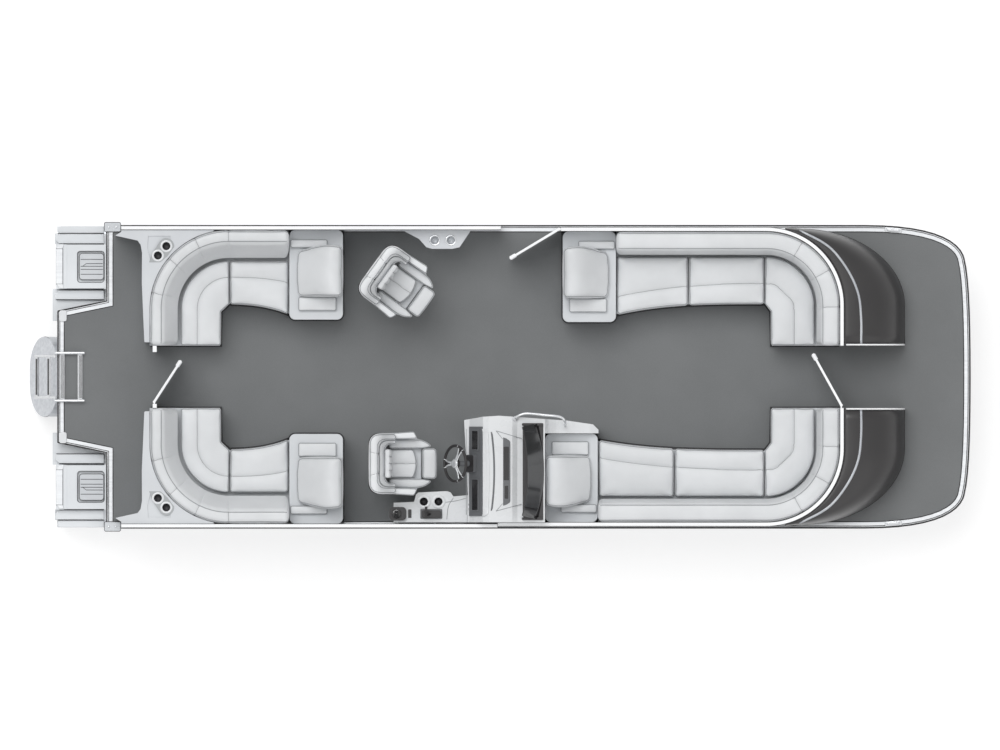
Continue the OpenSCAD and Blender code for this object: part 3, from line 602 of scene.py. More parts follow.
def padMesh(size, radius, seams, step):
    # a block with rolled edges as an even net of squares, in its own flat coordinates
    rows = [gridStops(size[0], radius, step, seams[0]), gridStops(size[1], radius, step, seams[1]),
            gridStops(size[2], radius, step, ())]
    last = [len(r) - 1 for r in rows]
    found, flat, faces = {}, [], []

    def corner(*key):
        if key not in found:
            found[key] = len(flat)
            spot = Vector(rows[n][key[n]] for n in range(3))
            core = Vector(min(max(spot[n], radius), size[n] - radius) for n in range(3))
            away = spot - core
            flat.append(core + away.normalized() * radius if away.length > 1e-6 else spot)
        return found[key]

    for axis in range(3):
        a, b = (axis + 1) % 3, (axis + 2) % 3
        for end in (0, last[axis]):
            for i in range(last[a]):
                for j in range(last[b]):
                    quad = []
                    for di, dj in ((0, 0), (1, 0), (1, 1), (0, 1)):
                        key = [0, 0, 0]
                        key[axis], key[a], key[b] = end, i + di, j + dj
                        quad.append(corner(*key))
                    faces.append(tuple(quad))
    return flat, faces


def inflate(pad, rest, limit):
    # air pressure inside the net, with every vertex's push capped softly
    cloth = pad.modifiers.new("stuffing", "CLOTH")
    settings = cloth.settings
    settings.quality = stuffing["quality"]
    settings.mass = stuffing["mass"]
    settings.tension_stiffness = settings.compression_stiffness = stuffing["stretch"]
    settings.shear_stiffness = stuffing["shear"]
    settings.bending_stiffness = stuffing["bend"]
    settings.use_pressure = True
    settings.uniform_pressure_force = stuffing["pressure"]
    settings.effector_weights.gravity = 0
    settings.vertex_group_mass = "sewn"
    cloth.collision_settings.use_collision = False
    cloth.point_cache.frame_start = 1
    cloth.point_cache.frame_end = stuffing["frames"]
    for frameNumber in range(1, stuffing["frames"] + 1):
        scene.frame_set(frameNumber)
    graph = bpy.context.evaluated_depsgraph_get()
    blown = [v.co.copy() for v in pad.evaluated_get(graph).data.vertices]
    pad.modifiers.clear()
    scene.frame_set(1)
    for vertex, start, end in zip(pad.data.vertices, rest, blown):
        push = end - start
        vertex.co = start + push / (1 + push.length / limit)
    pad.data.update()


def layCord(name, guesses, skin, closed=False):
    # piping pressed onto a cushion's surface
    radius = sewing["pipingRadius"]
    laid = []
    for guess in guesses:
        spot, normal = skin.find_nearest(guess)[:2]
        laid.append(spot + normal * radius * sewing["pipingSunk"])
    return tube(name, laid, radius, pipingVinyl, 6, closed=closed)


def softPad(name, size, mat, shape, radius, seams=((), ()), swell=0.014, crown=0.012,
            piping=True, step=sewing["spacing"]):
    # a stuffed cushion: net, crown, air pressure between its seams, then welts and piping
    flat, faces = padMesh(size, radius, seams, step)
    length, width, height = size

    def nearSeam(p):
        gaps = [abs(p.x - s) for s in seams[0]] + [abs(p.y - s) for s in seams[1]]
        return min(gaps) if gaps else 1

    def crowned(p):
        # higher in the middle of each panel, and pulled in at mid-side
        top = max(0, (p.z / height - 0.5) * 2)
        edge = min(p.x, length - p.x, p.y, width - p.y, nearSeam(p))
        lift = crown * top * (1 - math.exp(-max(0, edge) / sewing["crownReach"]))
        return Vector((p.x, p.y, p.z + lift - crown * top))

    rest = [Vector(shape(crowned(p))) for p in flat]
    pad = makePiece(name, rest, faces, mat)
    held = [i for i, p in enumerate(flat) if p.z < height * sewing["heldBelow"]
            or (p.z > height * sewing["heldAbove"] and nearSeam(p) < 0.001)]
    pad.vertex_groups.new(name="sewn").add(held, 1.0, "REPLACE")
    inflate(pad, rest, swell)
    moved = [v.co.copy() for v in pad.data.vertices]
    normals = [v.normal.copy() for v in pad.data.vertices]
    for i, p in enumerate(flat):
        if p.z > height * sewing["sunkAbove"] and nearSeam(p) < sewing["seamWidth"] * 0.5:
            pad.data.vertices[i].co = moved[i] - normals[i] * sewing["seamDepth"]
    pad.data.update()
    smooth = pad.modifiers.new("smoothed", "SUBSURF")
    smooth.levels = smooth.render_levels = 1
    applyModifiers(pad)
    parts = [pad]
    skin = skinOf(pad)
    inset = radius * sewing["weltInset"]
    lines = [((s, inset), (s, width - inset)) for s in seams[0]]
    lines += [((inset, s), (length - inset, s)) for s in seams[1]]
    for start, end in lines:
        count = max(2, round(math.dist(start, end) / sewing["weltStep"]))
        spots = [shape(Vector((lerp(start[0], end[0], k / count),
                               lerp(start[1], end[1], k / count), height - crown)))
                 for k in range(count + 1)]
        parts.append(tube(name + "Welt", [skin.find_nearest(s)[0] for s in spots],
                          sewing["weltRadius"], seamThread, 5))
    if piping:
        inset = radius * sewing["pipingInset"]
        loop = roundedRect(inset, inset, length - inset, width - inset, radius * 0.9, 4)
        guesses = [shape(Vector((x, y, height - inset - crown * 0.7)))
                   for x, y in evenLoop(loop, sewing["pipingStep"])]
        parts.append(layCord(name + "Piping", guesses, skin, closed=True))
    return joinPieces(name, parts)


def upholster(pad, node, body="root"):
    attach(pad, body, "upholstery", node)


# each lounge is measured along its wall from amidships, and in from the wall
bowLounge = {"corner": (2.657, 0.740), "inner": 2.702, "wall": 1.455, "depth": 0.732,
             "back": 0.242, "backTop": 0.188, "rollSeam": 0.523, "rollSwing": 1.22,
             "rollPower": 2.4, "legEnd": 1.144, "seatTop": 1.255, "seatBase": 1.1253,
             "backHeight": 1.585, "sign": 1, "backSeams": (60, 29), "legSeam": 0.759,
             "cornerRoll": [(2.750, 0.540), (2.860, 0.632), (2.925, 0.712), (2.938, 0.790)]}
portBow = dict(bowLounge, name="port_bow", side=1, swell=0.111, power=3.2,
               joints=(1.157, 1.882, 2.644), shell=(0.624, 0.908))
starboardBow = dict(bowLounge, name="starboard_bow", side=-1, depth=0.727,
                    swell=0.102, power=3.2, joints=(0.975, 1.741, 2.644), shell=(0.448, 0.887))
sternLounge = {"corner": (2.715, 0.792), "inner": 2.789, "wall": 1.470, "depth": 0.750,
               "back": 0.302, "backTop": 0.130, "rollSeam": 0.476, "rollSwing": 0.55,
               "rollPower": 2.6, "legEnd": 1.159, "seatTop": 1.255, "seatBase": 1.1253,
               "backHeight": 1.585, "sign": -1, "swell": 0.104, "power": 2.4,
               "joints": (2.110, 2.709), "shell": (1.573, 0.899), "backSeams": (64, 40, 12),
               "legSeam": None, "rollRadius": 0.314}
portStern = dict(sternLounge, name="port_stern", side=1)
starboardStern = dict(sternLounge, name="starboard_stern", side=-1)
loungeGap = 0.003     # room left round each cushion
seatPad = {"jointGap": 0.003, "firstGap": 0.006, "behind": 0.008, "under": 0.004,
           "roll": 0.030, "cornerRoll": 0.028, "fill": 0.75}


def toBoat(lounge, along, depth, height):
    return Vector((lounge["sign"] * along, lounge["side"] * (lounge["wall"] - depth), height))


def swollen(lounge, along, power):
    # how far the seat's front has swung out: none at the corner, all at the seat's open end
    first, last = lounge["joints"][0], lounge["joints"][-1]
    return max(0, (last - along) / (last - first)) ** power


def frontDepth(lounge, along):
    return lounge["depth"] + lounge["swell"] * swollen(lounge, along, lounge["power"])


def rollDepth(lounge, along):
    # where the front roll is sewn to the seat panel
    swing = lounge["swell"] * lounge["rollSwing"]
    return lounge["rollSeam"] + swing * swollen(lounge, along, lounge["rollPower"])


def lidCushion(lounge, index, label):
    clear = seatPad["firstGap"] if index == 0 else seatPad["jointGap"]
    low = lounge["joints"][index] + clear + loungeGap
    high = lounge["joints"][index + 1] - seatPad["jointGap"] - loungeGap
    back = lounge["back"] + seatPad["behind"] + loungeGap
    thick = lounge["seatTop"] - lounge["seatBase"]
    nominal = lounge["depth"] - back
    seamAt = rollDepth(lounge, (low + high) / 2) - back

    def shape(p):
        along = low + p.x
        front = frontDepth(lounge, along) - loungeGap
        seam = rollDepth(lounge, along)
        if p.y < seamAt:
            depth = lerp(back, seam, p.y / seamAt)
        else:
            depth = lerp(seam, front, (p.y - seamAt) / (nominal - seamAt))
        return toBoat(lounge, along, depth, lounge["seatBase"] + p.z)

    node = lounge["name"] + ("_lid" if label == "Side" else "_lid_" + label.lower())
    pad = softPad(titled(lounge["name"]) + "Seat" + label,
                  (high - low, nominal, thick - seatPad["under"]), vinyl, shape,
                  seatPad["roll"], seams=((), (seamAt,)))
    upholster(pad, node, body=node)


cornerPad = {"length": 1.05, "width": 0.48, "seamAt": 0.24, "turnShare": 0.62,
             "frontSteps": (0.070, 0.095)}


def cornerSeat(lounge):
    first = lounge["joints"][-1] + seatPad["jointGap"] + loungeGap
    end = lounge["legEnd"] - loungeGap
    centre = lounge["corner"]
    back = lounge["back"] + seatPad["behind"] + loungeGap
    inner = lounge["inner"] + loungeGap
    rear = [(first, back)] + arcPoints(centre, centre[1] - back, -90, 0, 16)
    roll = [(first, lounge["rollSeam"])]
    if "cornerRoll" in lounge:
        roll = spline(roll + lounge["cornerRoll"], 5)
    else:
        roll += arcPoints(centre, lounge["rollRadius"], -90, 0, 14)
    front = [(first, lounge["depth"] - loungeGap)]
    front += [(inner, lounge["depth"] + step) for step in cornerPad["frontSteps"]]
    lines = [[Vector((*q, 0)) for q in line] for line in (rear, roll, front)]
    thick = lounge["seatTop"] - lounge["seatBase"]
    length, width, seamAt = cornerPad["length"], cornerPad["width"], cornerPad["seamAt"]
    turnShare = cornerPad["turnShare"]

    def edgeAt(line, share):
        # the first part of each line turns the corner, the rest runs straight to the end
        if share < turnShare:
            return alongLine(line, share / turnShare)
        return line[-1].lerp(Vector((line[-1].x, end, 0)), (share - turnShare) / (1 - turnShare))

    def shape(p):
        share = min(1, max(0, p.x / length))
        a, b, c = (edgeAt(line, share) for line in lines)
        if p.y < seamAt:
            spot = a.lerp(b, p.y / seamAt)
        else:
            spot = b.lerp(c, (p.y - seamAt) / (width - seamAt))
        return toBoat(lounge, spot.x, spot.y, lounge["seatBase"] + p.z)

    pad = softPad(titled(lounge["name"]) + "CornerSeat", (length, width, thick - seatPad["under"]),
                  vinyl, shape, seatPad["cornerRoll"], seams=((), (seamAt,)))
    upholster(pad, lounge["name"] + "_cushions")


def wallPath(lounge, along, depth):
    # along runs down the wall, round the corner and across; depth is measured in from the wall
    first = lounge["joints"][0] + loungeGap
    straight = lounge["corner"][0] - first
    radius = lounge["corner"][1]
    bend = radius * math.pi / 2
    if along < straight:
        return first + along, depth
    if along < straight + bend:
        a = (along - straight) / radius - math.pi / 2
        return (lounge["corner"][0] + (radius - depth) * math.cos(a),
                radius + (radius - depth) * math.sin(a))
    return lounge["corner"][0] + radius - depth, radius + along - straight - bend


backPad = {"lift": 0.10, "clear": 0.004, "lean": 0.985, "fill": 0.7, "cordStep": 0.04,
           "cordEnd": 0.012, "frontCord": (0.012, 0.012),   # in from edge, below top
           "wallCord": (0.016, 0.018),
           "sewn": {"radius": 0.045, "swell": 0.010, "crown": 0.008, "piping": False,
                    "step": 0.045}}


def backCushion(lounge):
    straight = lounge["corner"][0] - (lounge["joints"][0] + loungeGap)
    radius = lounge["corner"][1]
    length = straight + radius * math.pi / 2 + lounge["legEnd"] - loungeGap - radius
    low = lounge["seatBase"] + backPad["lift"]
    tall = lounge["backHeight"] - low - backPad["clear"]
    deep = lounge["backTop"]
    seams = [straight + radius * math.radians(90 - a) for a in lounge["backSeams"]]
    if lounge["legSeam"]:
        seams.append(straight + radius * math.pi / 2 + lounge["legSeam"] - radius)
    if lounge["sign"] < 0:
        seams.append(straight)

    def shape(p):
        spread = 1 + (lounge["back"] / deep - 1) * (1 - p.z / tall)
        x, y = wallPath(lounge, p.x, backPad["clear"] + p.y * spread * backPad["lean"])
        return toBoat(lounge, x, y, low + p.z)

    name = titled(lounge["name"]) + "Back"
    pad = softPad(name, (length, deep, tall), vinyl, shape, seams=(seams, ()),
                  **backPad["sewn"])
    skin = skinOf(pad)
    count, end = round(length / backPad["cordStep"]), backPad["cordEnd"]
    cords = []
    for depth, below in ((deep - backPad["frontCord"][0], backPad["frontCord"][1]),
                         backPad["wallCord"]):
        spots = [wallPath(lounge, lerp(end, length - end, k / count), depth)
                 for k in range(count + 1)]
        cords.append(layCord(name + "Cord", [toBoat(lounge, x, y, lounge["backHeight"] - below)
                                             for x, y in spots], skin))
    upholster(joinPieces(name, [pad] + cords), lounge["name"] + "_cushions")


lounger = {"deep": 0.460, "near": 0.186, "far": 0.666, "tall": 0.325, "shellTop": 1.2953,
           "clear": 0.005, "bow": 0.036, "endBow": 0.077, "bulge": 0.045, "backFill": 0.7,
           "padThick": 0.043, "padFill": 0.6,
           "backSewn": {"radius": 0.040, "swell": 0.014, "crown": 0.010},
           "padSewn": {"radius": 0.018, "swell": 0.006, "crown": 0.006, "step": 0.03},
           "profile": [(0, 0.270, 0), (0.045, 0.318, 0), (0.115, 0.318, 0), (0.20, 0.268, 0),
                       (0.31, 0.172, 0), (0.41, 0.088, 0), (0.46, 0.060, 0)],
           "pads": (("OuterPad", 0.150, 0.010, 0.095, 0.181),
                    ("InnerPad", 0.060, 0.090, 0.671, 0.811))}


def loungerBack(lounge):
    # the raked back: highest at its aft side, with a bowed outboard edge and rounded corners
    base = lounge["shell"][0] + lounger["clear"]
    deep, near, far, tall = (lounger[key] for key in ("deep", "near", "far", "tall"))
    profile = spline(lounger["profile"], 6)

    def topAt(x):
        for a, b in zip(profile, profile[1:]):
            if x <= b.x:
                return lerp(a.y, b.y, (x - a.x) / max(1e-6, b.x - a.x))
        return profile[-1].y

    def shape(p):
        x = p.x / deep
        bow = lounger["bow"] * math.sin(math.pi * min(1, x * 1.05 + 0.16))
        bow -= lounger["endBow"] * max(0, x - 0.72)
        y = near - bow + (far - near + bow) * (p.y / (far - near))
        bulge = 1 - lounger["bulge"] * (abs(2 * p.y / (far - near) - 1) ** 2.5)
        z = p.z / tall * topAt(p.x)
        return toBoat(lounge, base + p.x * bulge, y, lounger["shellTop"] + z)

    pad = softPad(titled(lounge["name"]) + "LoungerBack", (deep, far - near, tall), vinyl,
                  shape, **lounger["backSewn"])
    upholster(pad, lounge["name"] + "_cushions")


def loungerPads(lounge):
    base = lounge["shell"][0] + lounger["clear"]
    for label, fromShell, fromSeat, y0, y1 in lounger["pads"]:
        x0, x1 = base + fromShell, lounge["joints"][0] - fromSeat

        def shape(p, x0=x0, y0=y0):
            return toBoat(lounge, x0 + p.x, y0 + p.y, lounger["shellTop"] + p.z)

        pad = softPad(titled(lounge["name"]) + label, (x1 - x0, y1 - y0, lounger["padThick"]),
                      vinyl, shape, **lounger["padSewn"])
        upholster(pad, lounge["name"] + "_cushions")


toeStrip = {"high": 0.045, "proud": 0.013, "deep": 0.030, "corner": 0.060, "steps": 24,
            "legStep": 0.074, "chamfer": 0.004}


def toeMoulding(lounge):
    # black moulding where the seat base meets the floor
    end, inner, corner = lounge["legEnd"], lounge["inner"], toeStrip["corner"]
    first, last = lounge["joints"][0], lounge["joints"][-1]
    shellFrom, shellDepth = lounge["shell"]
    line = [(lounge["corner"][0] + lounge["corner"][1] - 0.01, end), (inner, end),
            (inner, lounge["depth"] + toeStrip["legStep"]), (last, lounge["depth"])]
    for k in range(1, toeStrip["steps"] + 1):
        along = lerp(last, first, k / toeStrip["steps"])
        line.append((along, frontDepth(lounge, along)))
    line.append((first - 0.006, frontDepth(lounge, first) + 0.004))
    line += arcPoints((first - corner, shellDepth - corner), corner, 0, 90, 6)
    line += arcPoints((shellFrom + corner, shellDepth - corner), corner, 90, 180, 6)
    line.append((shellFrom, 0.01))
    flat = [Vector((x, y, 0)) for x, y in line]
    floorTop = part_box("deck")[1].z
    deep, proud, high = toeStrip["deep"], toeStrip["proud"], toeStrip["high"]
    section = ((-deep, 0), (proud, 0), (proud, high * 0.8),
               (proud - toeStrip["chamfer"], high), (-deep, high))
    verts = []
    for i, here in enumerate(flat):
        along = (flat[min(len(flat) - 1, i + 1)] - flat[max(0, i - 1)]).normalized()
        out = Vector((along.y, -along.x, 0))
        if out.y < -0.3:
            out = -out
        if abs(out.y) <= 0.3 and 1 < i < 4:
            out = Vector((-1, 0, 0))
        for reach, height in section:
            q = here + out * reach
            verts.append(toBoat(lounge, q.x, q.y, floorTop + height))
    strip = makePiece(titled(lounge["name"]) + "Moulding", verts, barFaces(len(flat), len(section)),
                      darkPlinth, smooth=False)
    attach(strip, "root", "fairing_black")


for lounge in (portBow, starboardBow):
    lidCushion(lounge, 0, "Aft")
    lidCushion(lounge, 1, "Mid")
for lounge in (portStern, starboardStern):
    lidCushion(lounge, 0, "Side")
for lounge in (portBow, starboardBow, portStern, starboardStern):
    cornerSeat(lounge)
    backCushion(lounge)
    loungerBack(lounge)
    loungerPads(lounge)
    toeMoulding(lounge)
print("lounges upholstered")


# swivel chairs, made once in their own frame and set down twice
chairPlaces = (("Captain", (-1.003, -0.868), 0), ("Mate", (-1.028, 0.927), -36))
chairLook = {"shellBase": 1.2765, "seatBase": 1.3045, "seatThick": 0.090, "tubBase": 1.283,
             "tubHigh": 1.874, "tubLow": 1.606, "tubLong": 1.07, "tubDeep": 0.055,
             "tubTall": 0.580, "turns": (0.34, 0.60), "rise": 0.200, "headrest": 0.012,
             "outer": {"half": 0.300, "rear": -0.311, "corner": 0.090},
             "inner": {"half": 0.196, "rear": -0.151, "corner": 0.060},
             "welt": {"half": 0.2975, "rear": -0.3085, "corner": 0.088},
             "tip": -0.040, "split": 0.61, "armBase": 1.490, "armThick": 0.048, "fill": 0.7,
             "tubSewn": {"radius": 0.024, "swell": 0.008, "crown": 0.006, "step": 0.045}}
chairPadSizes = {"panelHalf": 0.142, "panelDeep": 0.265, "panelRear": -0.112,
                 "lumbarHigh": 0.42, "lumbarThick": 0.060, "lumbarSeams": (0.071, 0.142, 0.213),
                 "bolsterLong": 0.42, "bolsterWide": 0.090, "bolsterProud": 0.014,
                 "armLong": 0.33, "armWide": 0.066, "rollDeep": 0.148, "rollHalf": 0.153,
                 "rollThick": 0.080,
                 "lumbar": {"radius": 0.020, "swell": 0.010, "crown": 0.008, "piping": False,
                            "step": 0.03},
                 "panel": {"radius": 0.022, "swell": 0.012, "crown": 0.010},
                 "bolster": {"radius": 0.028, "swell": 0.010, "crown": 0.010},
                 "arm": {"radius": 0.020, "swell": 0.006, "crown": 0.008, "step": 0.026},
                 "roll": {"radius": 0.034, "swell": 0.012, "crown": 0.008}}


def tubCurve(share, half, rear, corner):
    # round the back from the port wing's tip to the starboard one
    side = 1 if share <= 0.5 else -1
    first, second = chairLook["turns"]
    u = min(share, 1 - share) * 2
    if u < first:
        return lerp(chairLook["tip"], rear + corner, u / first), side * half
    if u < second:
        a = math.radians((u - first) / (second - first) * 90)
        return (rear + corner - corner * math.sin(a),
                side * (half - corner + corner * math.cos(a)))
    return rear, side * lerp(half - corner, 0, (u - second) / (1 - second))


def tubTop(x, y):
    rise = min(1, max(0, (chairLook["tip"] - x) / chairLook["rise"]))
    rise = rise * rise * (3 - 2 * rise)
    head = chairLook["headrest"] if abs(y) < 0.125 and x < -0.15 else 0
    return lerp(chairLook["tubLow"], chairLook["tubHigh"], rise) + head


def tubBand(name, first, last, drop, mat, seams):
    # part of the tub's thickness, from share first to share last between its two faces
    long, deep, tall = (chairLook[key] for key in ("tubLong", "tubDeep", "tubTall"))

    def shape(p):
        share = min(1, max(0, p.x / long))
        outer = tubCurve(share, **chairLook["outer"])
        inner = tubCurve(share, **chairLook["inner"])
        f = lerp(first, last, p.y / deep)
        x, y = lerp(outer[0], inner[0], f), lerp(outer[1], inner[1], f)
        low = chairLook["tubBase"]
        return Vector((x, y, low + p.z / tall * (tubTop(x, y) - drop - low)))

    return softPad(name, (long, deep, tall), mat, shape, seams=(seams, ()),
                   **chairLook["tubSewn"])


def chairPads():
    # each pad with the part of the chair it stands for, shell or cushions
    long, split = chairLook["tubLong"], chairLook["split"]
    base, thick = chairLook["seatBase"], chairLook["seatThick"]
    sizes = chairPadSizes
    half, rear = sizes["panelHalf"], sizes["panelRear"]
    pads = [(tubBand("BackOuter", 0.01, split, 0, palePanel, (0.381 * long, 0.619 * long)),
             "shell"),
            (tubBand("BackWings", split + 0.02, 0.99, 0.022, vinyl, ()), "cushions")]

    def lumbar(p):
        lean = p.y / sizes["lumbarHigh"]
        return Vector((lerp(-0.158, -0.150, lean) + p.z * lerp(1.5, 0.95, lean), p.x - half,
                       base + thick - 0.005 + p.y))

    pads.append((softPad("Lumbar", (2 * half, sizes["lumbarHigh"], sizes["lumbarThick"]), vinyl,
                         lumbar, seams=(sizes["lumbarSeams"], ()), **sizes["lumbar"]),
                 "cushions"))

    def centre(p):
        y = p.y - half
        front = 0.166 - 0.037 * (y / half) ** 2
        return Vector((lerp(rear, front, p.x / sizes["panelDeep"]), y, base + p.z))

    pads.append((softPad("SeatPanel", (sizes["panelDeep"], 2 * half, thick), vinyl, centre,
                         seams=((), (half,)), **sizes["panel"]), "cushions"))
    outer = spline([(rear, 0.242, 0), (0.10, 0.246, 0), (0.215, 0.238, 0), (0.285, 0.205, 0),
                    (0.322, 0.168, 0)], 5)
    inner = [(rear, 0.149, 0), (0.129, 0.149, 0), (0.186, 0.154, 0), (0.217, 0.158, 0)]
    for side, label in ((1, "Port"), (-1, "Starboard")):
        def bolster(p, side=side):
            share = min(1, max(0, p.x / sizes["bolsterLong"]))
            spot = alongLine(outer, share).lerp(alongLine(inner, share),
                                                p.y / sizes["bolsterWide"])
            return Vector((spot.x, side * spot.y, base + p.z))

        def arm(p, side=side):
            share = min(1, max(0, p.x / sizes["armLong"]))
            edge = Vector((-0.162, 0.301, 0)).lerp(Vector((0.142, 0.321, 0)), share)
            near = alongLine([(-0.126, 0.280, 0), (-0.030, 0.244, 0), (0.176, 0.249, 0)], share)
            spot = edge.lerp(near, p.y / sizes["armWide"])
            return Vector((spot.x, side * spot.y, chairLook["armBase"] + p.z))

        size = (sizes["bolsterLong"], sizes["bolsterWide"], thick + sizes["bolsterProud"])
        pads.append((softPad("Bolster" + label, size, vinyl, bolster, **sizes["bolster"]),
                     "cushions"))
        size = (sizes["armLong"], sizes["armWide"], chairLook["armThick"])
        pads.append((softPad("ArmPad" + label, size, palePanel, arm, **sizes["arm"]), "shell"))

    def front(p):
        bowed = 1 - 0.05 * (abs(p.y / sizes["rollHalf"] - 1)) ** 2
        return Vector((0.222 + p.x * bowed, p.y - sizes["rollHalf"], base + 0.022 + p.z))

    size = (sizes["rollDeep"], 2 * sizes["rollHalf"], sizes["rollThick"])
    pads.append((softPad("FrontRoll", size, vinyl, front, **sizes["roll"]), "cushions"))
    return pads


def chairHard():
    # pan, seat shell, arm posts and the dark welt round the tub's foot
    base = chairLook["shellBase"]
    parts = [plate("Pan", roundedRect(-0.189, -0.189, 0.179, 0.189, 0.06), base - 0.0305,
                   base - 0.0005, satinDark, 0.004),
             plate("SeatShell", roundedRect(-0.254, -0.254, 0.214, 0.254, 0.06), base,
                   base + 0.0275, greyShell, 0.009)]
    for low, high in ((0.243, 0.263), (-0.263, -0.243)):
        parts.append(plate("ArmPost", roundedRect(-0.060, low, 0.090, high, 0.009), base + 0.010,
                           chairLook["armBase"] + 0.004, greyShell, 0.003))
    path = [(*tubCurve(k / 48, **chairLook["welt"]), chairLook["tubBase"] + 0.026)
            for k in range(49)]
    parts.append(tube("TubWelt", path, 0.006, satinBlack, 8))
    return [(joinPieces("Shell", parts), "shell")]


def setChairs():
    pads, hard = chairPads(), chairHard()
    for title, at, turn in chairPlaces:
        where = Matrix.Translation((*at, 0)) @ Matrix.Rotation(math.radians(turn), 4, "Z")
        chair = title.lower() + "_chair"
        for piece, kind in pads + hard:
            made = piece
            if title != chairPlaces[-1][0]:
                made = piece.copy()
                made.data = piece.data.copy()
                scene.collection.objects.link(made)
            made.name = title + "Chair" + piece.name.split(".")[0]
            made.data.transform(where)
            attach(made, chair, "chair_plastic" if kind == "shell" else "upholstery",
                   chair + "_" + kind)
            (piece, kind) in pads


setChairs()
print("chairs set down")


# helm, windscreen, wheel and side console
helm = {"foot": (-0.308, 0, 1.515), "tilt": 53.2, "face": 0.012, "wheelY": -0.868, "top": 1.725,
        "consoleTop": 1.265, "padLow": 1.7052, "creaseRadius": 0.003}
dashLook = {"clusters": (("Port", -0.725, -0.541), ("Starboard", -1.332, -1.029)),
            "bezel": (0.058, 0.176), "bezelSide": 0.016, "bezelHigh": 0.009,
            "glass": (0.072, 0.162), "glassLow": 0.006, "glassHigh": 0.0115, "cowlHigh": 0.035,
            "cowl": ((0.004, -0.080), (0.020, -0.089), (0.112, -0.089), (0.130, -0.074),
                     (0.130, 0.074), (0.112, 0.089), (0.020, 0.089), (0.004, 0.080))}


def onDash(u, v, w):
    # u up the dash, v to port, w out of its face
    a = math.radians(helm["tilt"])
    turn = Matrix(((math.cos(a), 0, -math.sin(a), 0), (0, 1, 0, 0),
                   (math.sin(a), 0, math.cos(a), 0), (0, 0, 0, 1)))
    return Matrix.Translation(helm["foot"]) @ turn @ Vector((u, v, w))


def dashPlate(name, outline, low, high, mat, edge=0.0015):
    piece = plate(name, outline, low, high, mat, edge)
    for vertex in piece.data.vertices:
        vertex.co = onDash(*vertex.co)
    return piece


def buildDash():
    # two instrument clusters, each a dark glass in a grey bezel, and the cowl round the column
    face, side = helm["face"], dashLook["bezelSide"]
    bezel, glass = dashLook["bezel"], dashLook["glass"]
    parts = []
    for label, low, high in dashLook["clusters"]:
        parts.append(dashPlate(label + "Bezel",
                               roundedRect(bezel[0], low - side, bezel[1], high + side, 0.014),
                               face, face + dashLook["bezelHigh"], satinDark, 0.003))
        parts.append(dashPlate(label + "Glass",
                               roundedRect(glass[0], low, glass[1], high, 0.008),
                               face + dashLook["glassLow"], face + dashLook["glassHigh"],
                               screenDark))
    parts.append(dashPlate("Cowl", [(u, helm["wheelY"] + v) for u, v in dashLook["cowl"]], face,
                           face + dashLook["cowlHigh"], satinBlack, 0.008))
    attach(joinPieces("DashFittings", parts), "root", "dash_plastic")


hood = {"from": -1.395, "to": -0.520, "aft": -0.205, "fore": -0.122, "bow": 0.014}
vent = {"from": -1.338, "to": -0.552, "aft": -0.096, "fore": -0.078, "bow": 0.026}
hoodNet = {"rows": 28, "columns": 8, "thick": 0.022, "endFrom": 0.93, "endDraw": 0.35}


def hoodStrip(name, edges, low, high, mat, crown):
    # a bowed moulding across the dash: edges give its aft and fore lines
    rows, columns = hoodNet["rows"] + 1, hoodNet["columns"] + 1
    top = []
    for i in range(rows):
        t = i / hoodNet["rows"]
        y = lerp(edges["from"], edges["to"], t)
        bowed = edges["bow"] * (1 - (2 * t - 1) ** 2)
        over = max(0, abs(2 * t - 1) - hoodNet["endFrom"]) / (1 - hoodNet["endFrom"])
        fore = lerp(edges["fore"], edges["aft"], hoodNet["endDraw"] * over)
        for k in range(columns):
            s = k / hoodNet["columns"]
            top.append((lerp(edges["aft"], fore, s) + bowed, y,
                        lerp(low, high, s) + crown * math.sin(math.pi * s) ** 0.7))
    base = len(top)
    verts = top + [(x, y, z - hoodNet["thick"] - crown * 0.4) for x, y, z in top]
    faces = netFaces(rows, columns)
    faces += [tuple(base + v for v in (a, d, c, b)) for a, b, c, d in faces]
    rim = list(range(columns)) + [(i + 1) * columns - 1 for i in range(1, rows)]
    rim += [(rows - 1) * columns + k for k in range(columns - 2, -1, -1)]
    rim += [i * columns for i in range(rows - 2, 0, -1)]
    faces += [(a, b, base + b, base + a) for a, b in zip(rim, rim[1:] + rim[:1])]
    piece = makePiece(name, verts, faces, mat)
    for face in piece.data.polygons:
        face.use_smooth = abs(face.normal.z) > 0.3
    return piece


topPanel = ((0.028, -0.606), (0.060, -0.616), (0.094, -0.640), (0.100, -0.655), (0.100, -1.244),
            (0.094, -1.258), (0.060, -1.280), (0.028, -1.289))
# corner, then the far ends of the two pressed lines that start there
topCreases = (((-0.042, -0.541), (0.215, -0.617), (0.024, -0.623)),
              ((-0.042, -1.343), (0.215, -1.273), (0.024, -1.267)))


